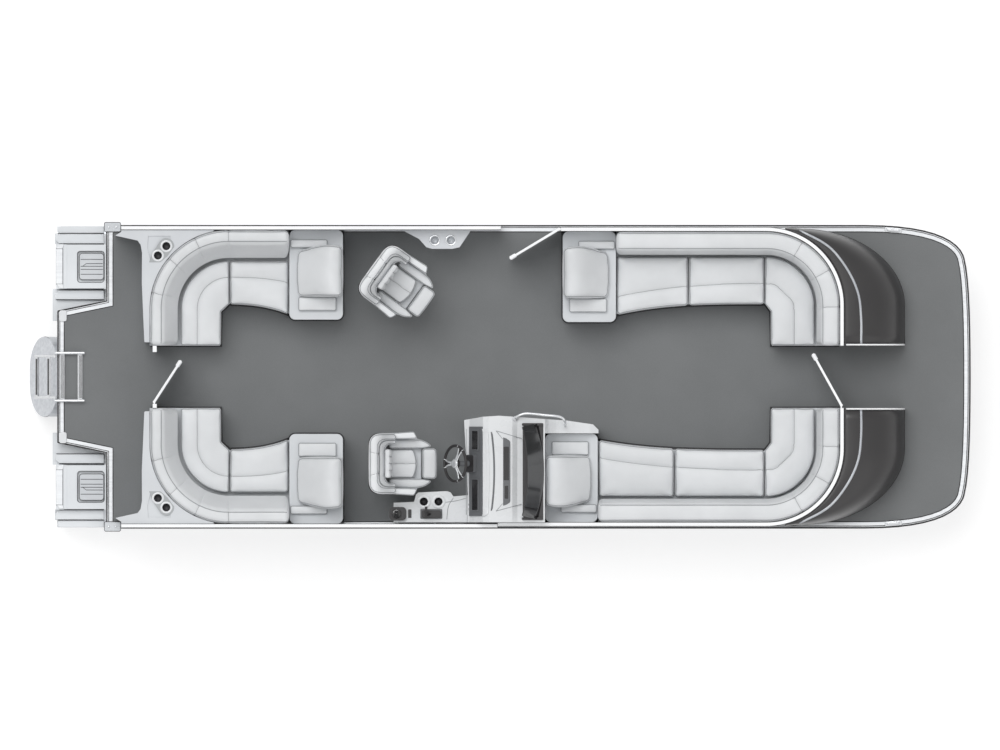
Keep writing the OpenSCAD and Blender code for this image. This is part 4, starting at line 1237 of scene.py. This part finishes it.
def buildHelmTop():
    top, low = helm["top"], helm["padLow"]
    parts = [hoodStrip("Hood", hood, 1.664, top + 0.002, gelcoat, 0.010),
             hoodStrip("Vent", vent, top + 0.0015, top + 0.0015, satinDark, 0.001),
             plate("TopPanel", topPanel, top - 0.004, top + 0.004, satinDark, 0.0015)]
    for x0, x1, y0, y1 in ((0.032, 0.086, -1.034, -0.698), (0.044, 0.078, -1.219, -1.089)):
        parts.append(plate("Inset", roundedRect(x0, y0, x1, y1, 0.006), top + 0.002,
                           top + 0.0065, screenDark, 0.001))
    for corner, *ends in topCreases:
        for end in ends:
            path = evenLine((*corner, top + 0.0005), (*end, top - 0.0011), 8)
            parts.append(tube("Crease", path, 0.0032, pipingVinyl, 6))
    # black top pad that the windscreen stands on, with a bracket at each end
    pad = [(0.224, -0.500), (0.224, -1.395), (0.270, -1.432), (0.425, -1.432)]
    pad += evenLine((0.430, -1.425), (0.430, -0.470), 6) + [(0.425, -0.463), (0.270, -0.463)]
    parts.append(plate("TopPad", pad, low, low + 0.0063, satinBlack, 0.002))
    for y0, y1 in ((-0.490, -0.463), (-1.432, -1.405)):
        parts.append(plate("Foot", roundedRect(0.216, y0, 0.428, y1, 0.010), low + 0.0008,
                           low + 0.0263, satinBlack, 0.004))
    for y in (-1.277, -1.323):
        parts.append(turned("Button", (-0.307, y, 1.514),
                            [(0.013, 0), (0.013, 0.004), (0.009, 0.007), (0, 0.007)], steel, 20))
    lip = evenLine((-0.340, -0.520, 1.4965), (-0.340, -1.380, 1.4965), 20)
    parts.append(tube("LipLine", lip, helm["creaseRadius"], pipingVinyl, 6))
    attach(joinPieces("HelmTop", parts), "root", "console_gelcoat")


def buildRail():
    # the grab rail as one smooth bent tube, with a round foot on the console's top
    path = spline([(0.150, -0.416, 1.728), (0.162, -0.400, 1.755), (0.256, -0.368, 1.770),
                   (0.430, -0.382, 1.767), (0.592, -0.400, 1.760), (0.646, -0.443, 1.715),
                   (0.650, -0.492, 1.451)], 10)
    parts = [tube("Bar", path, 0.0135, steel, 16),
             turned("Foot", (0.150, -0.416, 1.7255),
                    [(0.026, 0), (0.026, 0.004), (0.018, 0.009), (0, 0.009)], steel, 24)]
    attach(joinPieces("GrabRail", parts), "root", "polished_metal", "console_grab_rail")


wheelLook = {"column": (0.043, 0.209), "spokes": (60, 180, 300), "spokeRadius": 0.0125,
             "taper": 0.004, "rim": 0.1785, "cuffRadius": 0.0145,
             "spoke": ((0.030, 0.010, 0.006), (0.080, 0.011, 0.003), (0.125, 0.019, 0.000),
                       (0.168, 0.036, -0.001)),
             "hub": ((0.047, -0.012), (0.047, -0.002), (0.040, 0.003), (0.024, 0.006),
                     (0, 0.007))}


def wheelSpot(x, y, z):
    # the wheel's own plane, x up the dash
    up, out = wheelLook["column"]
    return onDash(up + x, helm["wheelY"] + y, out + z)


def buildWheel():
    normal = wheelSpot(0, 0, 1) - wheelSpot(0, 0, 0)
    parts = []
    for turn in wheelLook["spokes"]:
        a = math.radians(turn)
        for side in (1, -1):
            path = [wheelSpot(r * math.cos(a) - side * off * math.sin(a),
                              r * math.sin(a) + side * off * math.cos(a), z)
                    for r, off, z in wheelLook["spoke"]]
            parts.append(tube("Spoke", spline(path, 6),
                              lambda t: wheelLook["spokeRadius"] - wheelLook["taper"] * t, steel,
                              10, flat=0.5, up=normal))
    parts.append(turned("Hub", wheelSpot(0, 0, 0.0150), wheelLook["hub"], steel, 40,
                        normal=normal))
    for turn in wheelLook["spokes"]:
        # a silver cuff on each side of the spokes, where they meet the grip
        for span in ((-15, -13), (13, 15)):
            path = [wheelSpot(wheelLook["rim"] * math.cos(math.radians(turn + t)),
                              wheelLook["rim"] * math.sin(math.radians(turn + t)), 0.0)
                    for t in span]
            parts.append(tube("Cuff", path, wheelLook["cuffRadius"], steel, 16))
    attach(joinPieces("WheelSpokes", parts), "steering_wheel", "polished_metal")


holderLook = {"radius": 0.046, "thin": 0.0025, "lip": 0.006, "floor": 0.004}


def cupLiner(name, centre, rimRadius, top, depth, liner, rim):
    x, y = centre
    radius, floor = holderLook["radius"], holderLook["floor"]
    outer, inner = radius - holderLook["thin"], radius - holderLook["lip"]
    wall = turned(name, (x, y, top - depth), [(outer, 0), (outer, depth), (inner, depth),
                                              (radius - 0.008, floor), (0, floor)], liner, 40)
    return [wall, ring(name + "Rim", (x, y, top), inner, rimRadius, 0.0, holderLook["lip"], rim,
                       44)]


def buildSideConsole():
    top = helm["consoleTop"]
    parts = []
    for x in (-0.765, -0.618):
        parts += cupLiner("Holder", (x, -1.248), 0.070, top, 0.079, satinBlack, gelcoat)
        parts.append(turned("Mat", (x, -1.248, top - 0.076),
                            [(0.034, 0), (0.034, 0.004), (0, 0.004)], wellDark, 32))
    # a grey floor plate under the throttle, and the slot beside it
    parts.append(plate("Recess", roundedRect(-0.800, -1.420, -0.580, -1.322, 0.010), top,
                       top + 0.0035, satinDark, 0.001))
    parts.append(plate("Slot", roundedRect(-0.922, -1.412, -0.888, -1.326, 0.006), top,
                       top + 0.0030, satinBlack, 0.001))
    for name, each, points in (
            ("CreaseA", 8, ((-0.470, -1.210), (-0.520, -1.300), (-0.535, -1.425))),
            ("CreaseB", 6, ((-0.545, -1.255), (-0.440, -1.240), (-0.345, -1.215)))):
        path = spline([(x, y, top + 0.001) for x, y in points], each)
        parts.append(tube(name, path, helm["creaseRadius"], pipingVinyl, 6))
    attach(joinPieces("SideConsoleFittings", parts), "root", "console_gelcoat")
    dial = turned("Dial", (-1.036, -1.369, 1.3165),
                  [(0.047, 0), (0.047, 0.002), (0.040, 0.004), (0.012, 0.004), (0.010, 0.008),
                   (0, 0.008)], screenDark, 40)
    attach(dial, "root", "control_black")


def buildSideTable():
    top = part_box("side_table")[1].z
    parts = []
    for x in (-0.656, -0.495):
        parts += cupLiner("TableHolder", (x, 1.365), 0.055, top, 0.072, greyShell, steel)
    attach(joinPieces("TableHolders", parts), "root", "polished_metal")


def plateWithHoles(name, outline, holes, low, thick, mat):
    # a thin flat sheet with round holes through it
    mesh = bmesh.new()
    for loop in [outline] + [arcPoints((x, y), r, 0, 351, 39) for x, y, r in holes]:
        corners = [mesh.verts.new((x, y, low)) for x, y in loop]
        for a, b in zip(corners, corners[1:] + corners[:1]):
            mesh.edges.new((a, b))
    bmesh.ops.triangle_fill(mesh, use_beauty=True, use_dissolve=False, edges=mesh.edges[:],
                            normal=(0, 0, 1))
    made = bmesh.ops.extrude_face_region(mesh, geom=mesh.faces[:])
    for item in made["geom"]:
        if isinstance(item, bmesh.types.BMVert):
            item.co.z += thick
    bmesh.ops.recalc_face_normals(mesh, faces=mesh.faces[:])
    data = bpy.data.meshes.new(name)
    mesh.to_mesh(data)
    mesh.free()
    data.materials.append(mat)
    piece = bpy.data.objects.new(name, data)
    scene.collection.objects.link(piece)
    return piece


trayLook = {"holders": ((-3.340, 1.307), (-3.424, 1.213)), "holeRadius": 0.050,
            "rimRadius": 0.060, "depth": 0.070, "thick": 0.0025, "lift": 0.0002,
            "outline": ([(-3.512, 1.144), (-3.400, 1.146), (-3.330, 1.205), (-3.272, 1.285)]
                        + arcPoints((-3.340, 1.307), 0.079, -10, 140, 10)
                        + [(-3.455, 1.275), (-3.490, 1.210)])}


def buildTray():
    # the stern shells' cup holders and the grey tray between them
    for side, label in ((1, "Port"), (-1, "Starboard")):
        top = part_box(label.lower() + "_stern_shell")[1].z
        tray = plateWithHoles("Tray", [(x, side * y) for x, y in trayLook["outline"]],
                              [(x, side * y, trayLook["holeRadius"])
                               for x, y in trayLook["holders"]],
                              top + trayLook["lift"], trayLook["thick"], trayGrey)
        parts = []
        for x, y in trayLook["holders"]:
            parts += cupLiner("TrayHolder", (x, side * y), trayLook["rimRadius"], top,
                              trayLook["depth"], wellDark, gelcoat)
        attach(joinPieces(label + "TrayHolders", parts + [tray]), "root", "shell_plastic")


buildDash()
buildHelmTop()
buildRail()
buildWheel()
buildSideConsole()
buildSideTable()
buildTray()
print("helm and tables fitted")


# bow fairings, each skin drawn as smooth rings from the rail down to the deck
fairing = {"corner": (2.657, 0.715), "inner": 0.7803, "lip": 0.020, "toe": 3.008, "reach": 1.032,
           "low": 0.8253, "high": 0.703, "side": 0.323, "end": 2.850, "tuck": 0.018,
           "levels": 30, "columns": [-1, -0.75, -0.5, -0.25] + [k / 40 for k in range(41)],
           "strip": ((2.990, 1.462), (3.218, 1.347), (3.358, 1.228), (3.499, 1.024),
                     (3.583, 0.814), (3.608, 0.575), (3.608, 0.330))}


def fairingPoint(level, across):
    # level 0 at the rail, 1 at the floor; across below 0 runs straight to the walkway
    cx, cy = fairing["corner"]
    s = math.sin(math.radians(90 * level))
    z = fairing["low"] + fairing["high"] * max(0, math.cos(math.radians(90 * level))) ** 0.75
    f = math.radians(90 * max(0, across))
    inner = fairing["inner"]
    x = ((cx + (inner + fairing["lip"]) * math.cos(f)) * (1 - s)
         + (fairing["toe"] + fairing["reach"] * math.cos(f)) * s)
    y = cy + (inner - fairing["tuck"] * s) * math.sin(f)
    if across < 0:
        y = lerp(cy, fairing["side"], -across)
    return Vector((max(x, fairing["end"]), y, z))


def buildFairing(side, label):
    levels, columns = fairing["levels"], fairing["columns"]
    cx, cy = fairing["corner"]
    verts = []
    for across in columns:
        loop = [fairingPoint(k / levels, across) for k in range(levels + 1)]
        f = math.radians(90 * max(0, across))
        x = max(cx + fairing["inner"] * math.cos(f), fairing["end"])
        y = cy + fairing["inner"] * math.sin(f) if across >= 0 else loop[0].y
        verts += loop + [Vector((x, y, fairing["low"])), Vector((x, y, loop[0].z - 0.004))]
    n = levels + 3
    skin = makePiece("Skin", [(v.x, side * v.y, v.z) for v in verts], barFaces(len(columns), n),
                     fairingGloss)
    for face in skin.data.polygons:
        face.use_smooth = face.index % n < levels and face.index < (len(columns) - 1) * n
    surface = skinOf(skin)
    path = []
    for spot in spline([(x, y, 0) for x, y in fairing["strip"]], 6):
        hit = surface.ray_cast(Vector((spot.x, side * spot.y, 3)), Vector((0, 0, -1)))[0]
        if hit:
            path.append(hit + Vector((0, 0, 0.001)))
    edge = [fairingPoint(k / levels, -1) for k in range(levels + 1)]
    # the last is a dark rubber seal where the fairing meets the floor
    foot = [fairingPoint(1, across) for across in columns]
    parts = [skin, tube("Strip", path, 0.0125, frameMetal, 8, flat=0.35),
             tube("EdgeTrim", [(p.x, side * (fairing["side"] - 0.002), p.z + 0.001)
                               for p in edge], 0.0085, fencePaint, 8),
             tube("FootSeal", [(p.x, side * (p.y - 0.003), p.z + 0.004) for p in foot], 0.006,
                  gripRubber, 6)]
    attach(joinPieces(label + "BowFairing", parts), "root", "fairing_black",
           label.lower() + "_bow_fairing")


def topLoops(node, height):
    # the outlines of a part's flat top, longest first
    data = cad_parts[node].data
    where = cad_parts[node].matrix_world
    spots = [where @ v.co for v in data.vertices]
    edges = {}
    for face in data.polygons:
        if all(abs(spots[v].z - height) < 0.001 for v in face.vertices):
            corners = [tuple(round(c, 4) for c in spots[v][:2]) for v in face.vertices]
            for a, b in zip(corners, corners[1:] + corners[:1]):
                edges.setdefault(frozenset((a, b)), []).append((a, b))
    follow = {}
    for uses in edges.values():
        if len(uses) == 1:
            follow.setdefault(uses[0][0], []).append(uses[0][1])
    loops = []
    while follow:
        start = next(iter(follow))
        loop, here = [start], start
        while here in follow:
            onward = follow[here].pop()
            if not follow[here]:
                del follow[here]
            here = onward
            if here == start:
                break
            loop.append(here)
        loops.append(loop)

    def around(loop):
        return sum(math.dist(a, b) for a, b in zip(loop, loop[1:] + loop[:1]))
    return sorted((loop for loop in loops if len(loop) > 3), key=around, reverse=True)


def insetLoop(loop, distance):
    # move every corner of an outline in along its own bisector, then divide its long sides
    area = sum(a[0] * b[1] - b[0] * a[1] for a, b in zip(loop, loop[1:] + loop[:1]))
    turn = 1 if area > 0 else -1
    out = []
    for i, here in enumerate(loop):
        a = (Vector(here) - Vector(loop[i - 1])).normalized()
        b = (Vector(loop[(i + 1) % len(loop)]) - Vector(here)).normalized()
        mid = Vector((-a.y, a.x)) * turn + Vector((-b.y, b.x)) * turn
        mid = mid / max(0.3, mid.length_squared / 2)
        out.append(tuple(Vector(here) + mid * distance))
    return evenLoop(out)


edgeSeals = {"innerInset": -0.001, "innerRadius": 0.0045, "outerInset": 0.002,
             "outerRadius": 0.0040, "railDrop": 0.010, "railInset": 0.0085,
             "railRadius": 0.0080, "fenceInset": 0.0015, "fenceDrop": 0.002,
             "fenceRadius": 0.0032}


def buildDeckEdge():
    # dark seals between floor, trim and rub rail, and a rubber bead along the rail's edge
    look = edgeSeals
    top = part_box("deck_trim")[1].z
    flat = topLoops("deck_trim", top)
    rail = topLoops("deck_trim", top - look["railDrop"])
    parts = []
    for loop, inset, height, radius, mat in (
            (flat[-1], look["innerInset"], top + 0.0005, look["innerRadius"], gripRubber),
            (flat[0], look["outerInset"], top - 0.001, look["outerRadius"], satinBlack),
            (rail[0], look["railInset"], top - look["railDrop"], look["railRadius"],
             gripRubber)):
        path = [(p.x, p.y, height) for p in insetLoop(loop, inset)]
        parts.append(tube("EdgeLine", path, radius, mat, 8, closed=True))
    attach(joinPieces("DeckEdgeSeals", parts), "root", "trim_aluminium")


def buildRailShadowGaskets():
    # a thin dark gasket along the longest edge of each fence's top rail; its dark line stands in
    # for the shadow gap beside the rail, a painted shadow
    for node in ("port_aft_fence", "port_bow_fence", "starboard_aft_fence",
                 "starboard_bow_fence"):
        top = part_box(node)[1].z
        path = [(p.x, p.y, top - edgeSeals["fenceDrop"])
                for p in insetLoop(topLoops(node, top)[0], edgeSeals["fenceInset"])]
        # dark rubber tube that paints the shadow line along both sides of the rail
        shadowGasket = tube(titled(node) + "ShadowGasket", path, edgeSeals["fenceRadius"], gripRubber, 6,
                      closed=True)
        attach(shadowGasket, "root", "fence_paint")


capLook = {"bolts": (-3.915, -3.842), "boltY": 1.497, "bumperLow": 0.8245, "bumperHigh": 0.845,
           "bumper": roundedRect(-4.409, 0.554, -4.336, 0.665, 0.020),
           "bolt": ((0.011, 0), (0.011, 0.004), (0.006, 0.007), (0, 0.007)),
           "outline": roundedRect(-3.960, 1.449, -3.796, 1.545, 0.016)}


def buildCaps():
    # bolts and an edge line on each stern corner cap, and the bumpers beside the ladder
    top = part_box("stern_corner_caps")[1].z
    parts = []
    for side in (1, -1):
        for x in capLook["bolts"]:
            parts.append(turned("CapBolt", (x, side * capLook["boltY"], top - 0.001),
                                capLook["bolt"], steel, 20))
        parts.append(plate("Bumper", [(x, side * y) for x, y in capLook["bumper"]],
                           capLook["bumperLow"], capLook["bumperHigh"], gelcoat, 0.006))
        path = [(x, side * y, top + 0.0005) for x, y in capLook["outline"]]
        parts.append(tube("CapEdge", path, 0.0028, satinBlack, 6, closed=True))
    attach(joinPieces("CapFittings", parts), "root", "polished_metal")


podLook = {
    "fore": -3.962, "bandHigh": 0.055,
    # outline of each band beside the engine's box, and its top
    "bands": (([(-4.395, 1.436), (-4.418, 1.442), (-4.427, 1.458), (-4.427, 1.486),
                (-4.418, 1.500), (-4.395, 1.506), (-3.962, 1.506), (-3.962, 1.436)], 0.655),
              ([(-4.451, 1.372), (-4.451, 1.420), (-4.443, 1.428), (-3.962, 1.428),
                (-3.962, 1.332), (-4.414, 1.332)], 0.668),
              ([(-4.443, 0.773), (-4.451, 0.781), (-4.451, 0.828), (-4.414, 0.866),
                (-3.962, 0.866), (-3.962, 0.773)], 0.668)),
    "bandSeams": ((1.4325, 0.669, -4.424), (1.3295, 0.6695, -4.410), (0.8695, 0.6695, -4.410),
                  (0.7705, 0.6690, -4.440)),
    "transomCap": [(-4.4425, 0.935), (-4.4425, 1.275), (-4.410, 1.320), (-4.362, 1.320),
                   (-4.376, 1.275), (-4.376, 0.935), (-4.362, 0.884), (-4.410, 0.884)],
    "slotCover": roundedRect(-4.373, 0.882, -4.334, 1.324, 0.004),
    "capSeams": (0.929, 1.281),
    "trayLines": (roundedRect(-4.229, 0.944, -3.962, 1.256, 0.030),
                  roundedRect(-4.210, 0.971, -3.966, 1.235, 0.030)),
    "trayFloor": roundedRect(-4.206, 0.975, -3.970, 1.231, 0.026),
    "slatFore": -3.975, "boxAft": -4.366, "boxSides": (0.881, 1.325),
    # the second slat is bent towards the third at its aft end
    "slats": ([(-4.196, 1.174)], [(-4.176, 1.105), (-4.141, 1.132)], [(-4.196, 1.105)],
              [(-4.196, 1.074)], [(-4.196, 1.025)]),
}


def buildPods():
    look, fore = podLook, podLook["fore"]
    for side, label in ((1, "Port"), (-1, "Starboard")):
        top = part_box(label.lower() + "_engine_pod")[1].z

        def onPod(name, outline, low, high, mat, edge=0.0):
            return plate(name, [(x, side * y) for x, y in outline], low, high, mat, edge)

        def line(name, points, radius, mat, closed=False):
            return tube(name, [(x, side * y, z) for x, y, z in points], radius, mat, 6,
                        closed=closed)

        parts = [onPod("Band", outline, high - look["bandHigh"], high, podPaint, 0.006)
                 for outline, high in look["bands"]]
        # transom cap, and a cover strip over the slot behind the transom
        parts.append(onPod("TransomCap", look["transomCap"], top - 0.002, top + 0.012, trimMetal,
                           0.004))
        parts.append(onPod("SlotCover", look["slotCover"], top + 0.0003, top + 0.003, podPaint,
                           0.001))
        parts += [line("BandSeam", [(aft, y, z), (fore, y, z)], 0.0038, satinBlack)
                  for y, z, aft in look["bandSeams"]]
        parts += [line("CapSeam", [(-4.443, y, top + 0.0105), (-4.372, y, top + 0.0105)], 0.003,
                       satinDark) for y in look["capSeams"]]
        parts.append(line("CapSeam", [(-4.3745, 0.884, top + 0.004), (-4.3745, 1.320,
                                                                      top + 0.004)],
                          0.0032, satinDark))
        # the slatted tray in front of the cap
        parts += [line("TrayLine", [(x, y, top + 0.0005) for x, y in outline], 0.0035, satinDark,
                       True) for outline in look["trayLines"]]
        parts.append(onPod("TrayFloor", look["trayFloor"], top - 0.004, top - 0.001, greyShell))
        for slat in look["slats"]:
            points = [(x, y, top) for x, y in slat + [(look["slatFore"], slat[-1][1])]]
            parts.append(line("Slat", points, 0.0032, satinDark))
        # dark seams along the box's two sides
        parts += [line("BoxSeam", [(look["boxAft"], y, top - 0.001), (fore, y, top - 0.001)],
                       0.0035, satinDark) for y in look["boxSides"]]
        attach(joinPieces(label + "PodFittings", parts), "root", "pod_aluminium")


weldLook = {"tubeRadius": 0.330, "outerTubes": (1.103, -1.103), "stations": (-2.20, -0.35, 1.50,
                                                                            3.24),
            "radius": 0.004, "halfFlat": 0.070, "endRadius": 0.006, "endHalf": 0.3975,
            "endSlope": 0.427, "endOff": 0.012}


def roundTube(centre, degrees, sunk=0.001):
    # points round a tube's skin, each an across and a height, from its top at 0 degrees
    radius = weldLook["tubeRadius"]
    return [(centre + (radius - sunk) * math.sin(math.radians(a)),
             radius + (radius - sunk) * math.cos(math.radians(a))) for a in degrees]


def tubeWelds():
    # weld seams across the tubes, left open underneath
    look, parts = weldLook, []
    centre = roundTube(look["halfFlat"], range(152, -1, -8))
    centre += [(-y, z) for y, z in reversed(centre)]
    seams = [roundTube(y, range(-152, 153, 8)) for y in look["outerTubes"]] + [centre]
    for seam in seams:
        for x in look["stations"]:
            parts.append(tube("Weld", [(x, y, z) for y, z in seam], look["radius"], frameMetal, 6,
                              up=(1, 0, 0)))
    # the seam round the slanted aft end of the centre tube
    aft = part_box("center_pontoon")[0].x
    path = []
    for a in range(118, -119, -6):
        z = roundTube(0, [a], 0.002)[0][1]
        path.append((aft + look["endSlope"] * z + look["endOff"],
                     look["endHalf"] * math.sin(math.radians(a)), z + 0.001))
    parts.append(tube("EndSeam", path, look["endRadius"], satinDark, 8))
    attach(joinPieces("TubeWelds", parts), "root", "tube_aluminium")


gripLook = {"treads": (-4.401, -4.226), "start": 0.012, "pitch": 0.012, "wide": 0.006,
            "half": 0.215, "low": 0.8465, "high": 0.8495, "hinge": (-4.455, 0, 0.870),
            "slope": 67, "steps": (0.146, 0.448), "ribs": (-0.014, 0, 0.014), "proud": 0.0095,
            "stepHalf": 0.180, "ribRadius": 0.0025}


def ladderGrips():
    # ribbed rubber on the ladder's treads
    look, parts = gripLook, []
    for tread in look["treads"]:
        for k in range(3):
            x = tread + look["start"] + look["pitch"] * k
            parts.append(plate("Grip", roundedRect(x, -look["half"], x + look["wide"],
                                                   look["half"], 0.0025, 2),
                               look["low"], look["high"], gripRubber))
    attach(joinPieces("LadderBaseGrips", parts), "root", "polished_metal")
    # on the folding part, square to its slope
    a = math.radians(look["slope"])
    down = Vector((-math.cos(a), 0, -math.sin(a)))
    out = Vector((-math.sin(a), 0, math.cos(a)))
    parts = []
    for step in look["steps"]:
        for rib in look["ribs"]:
            middle = Vector(look["hinge"]) + down * (step + rib) + out * look["proud"]
            path = [middle + Vector((0, y, 0)) for y in (-look["stepHalf"], look["stepHalf"])]
            parts.append(tube("Grip", path, look["ribRadius"], gripRubber, 6))
    attach(joinPieces("LadderGrips", parts), "ladder", "polished_metal")


buildFairing(1, "Port")
buildFairing(-1, "Starboard")
buildDeckEdge()
buildRailShadowGaskets()
buildCaps()
buildPods()
tubeWelds()
ladderGrips()
print("hull and edges fitted")
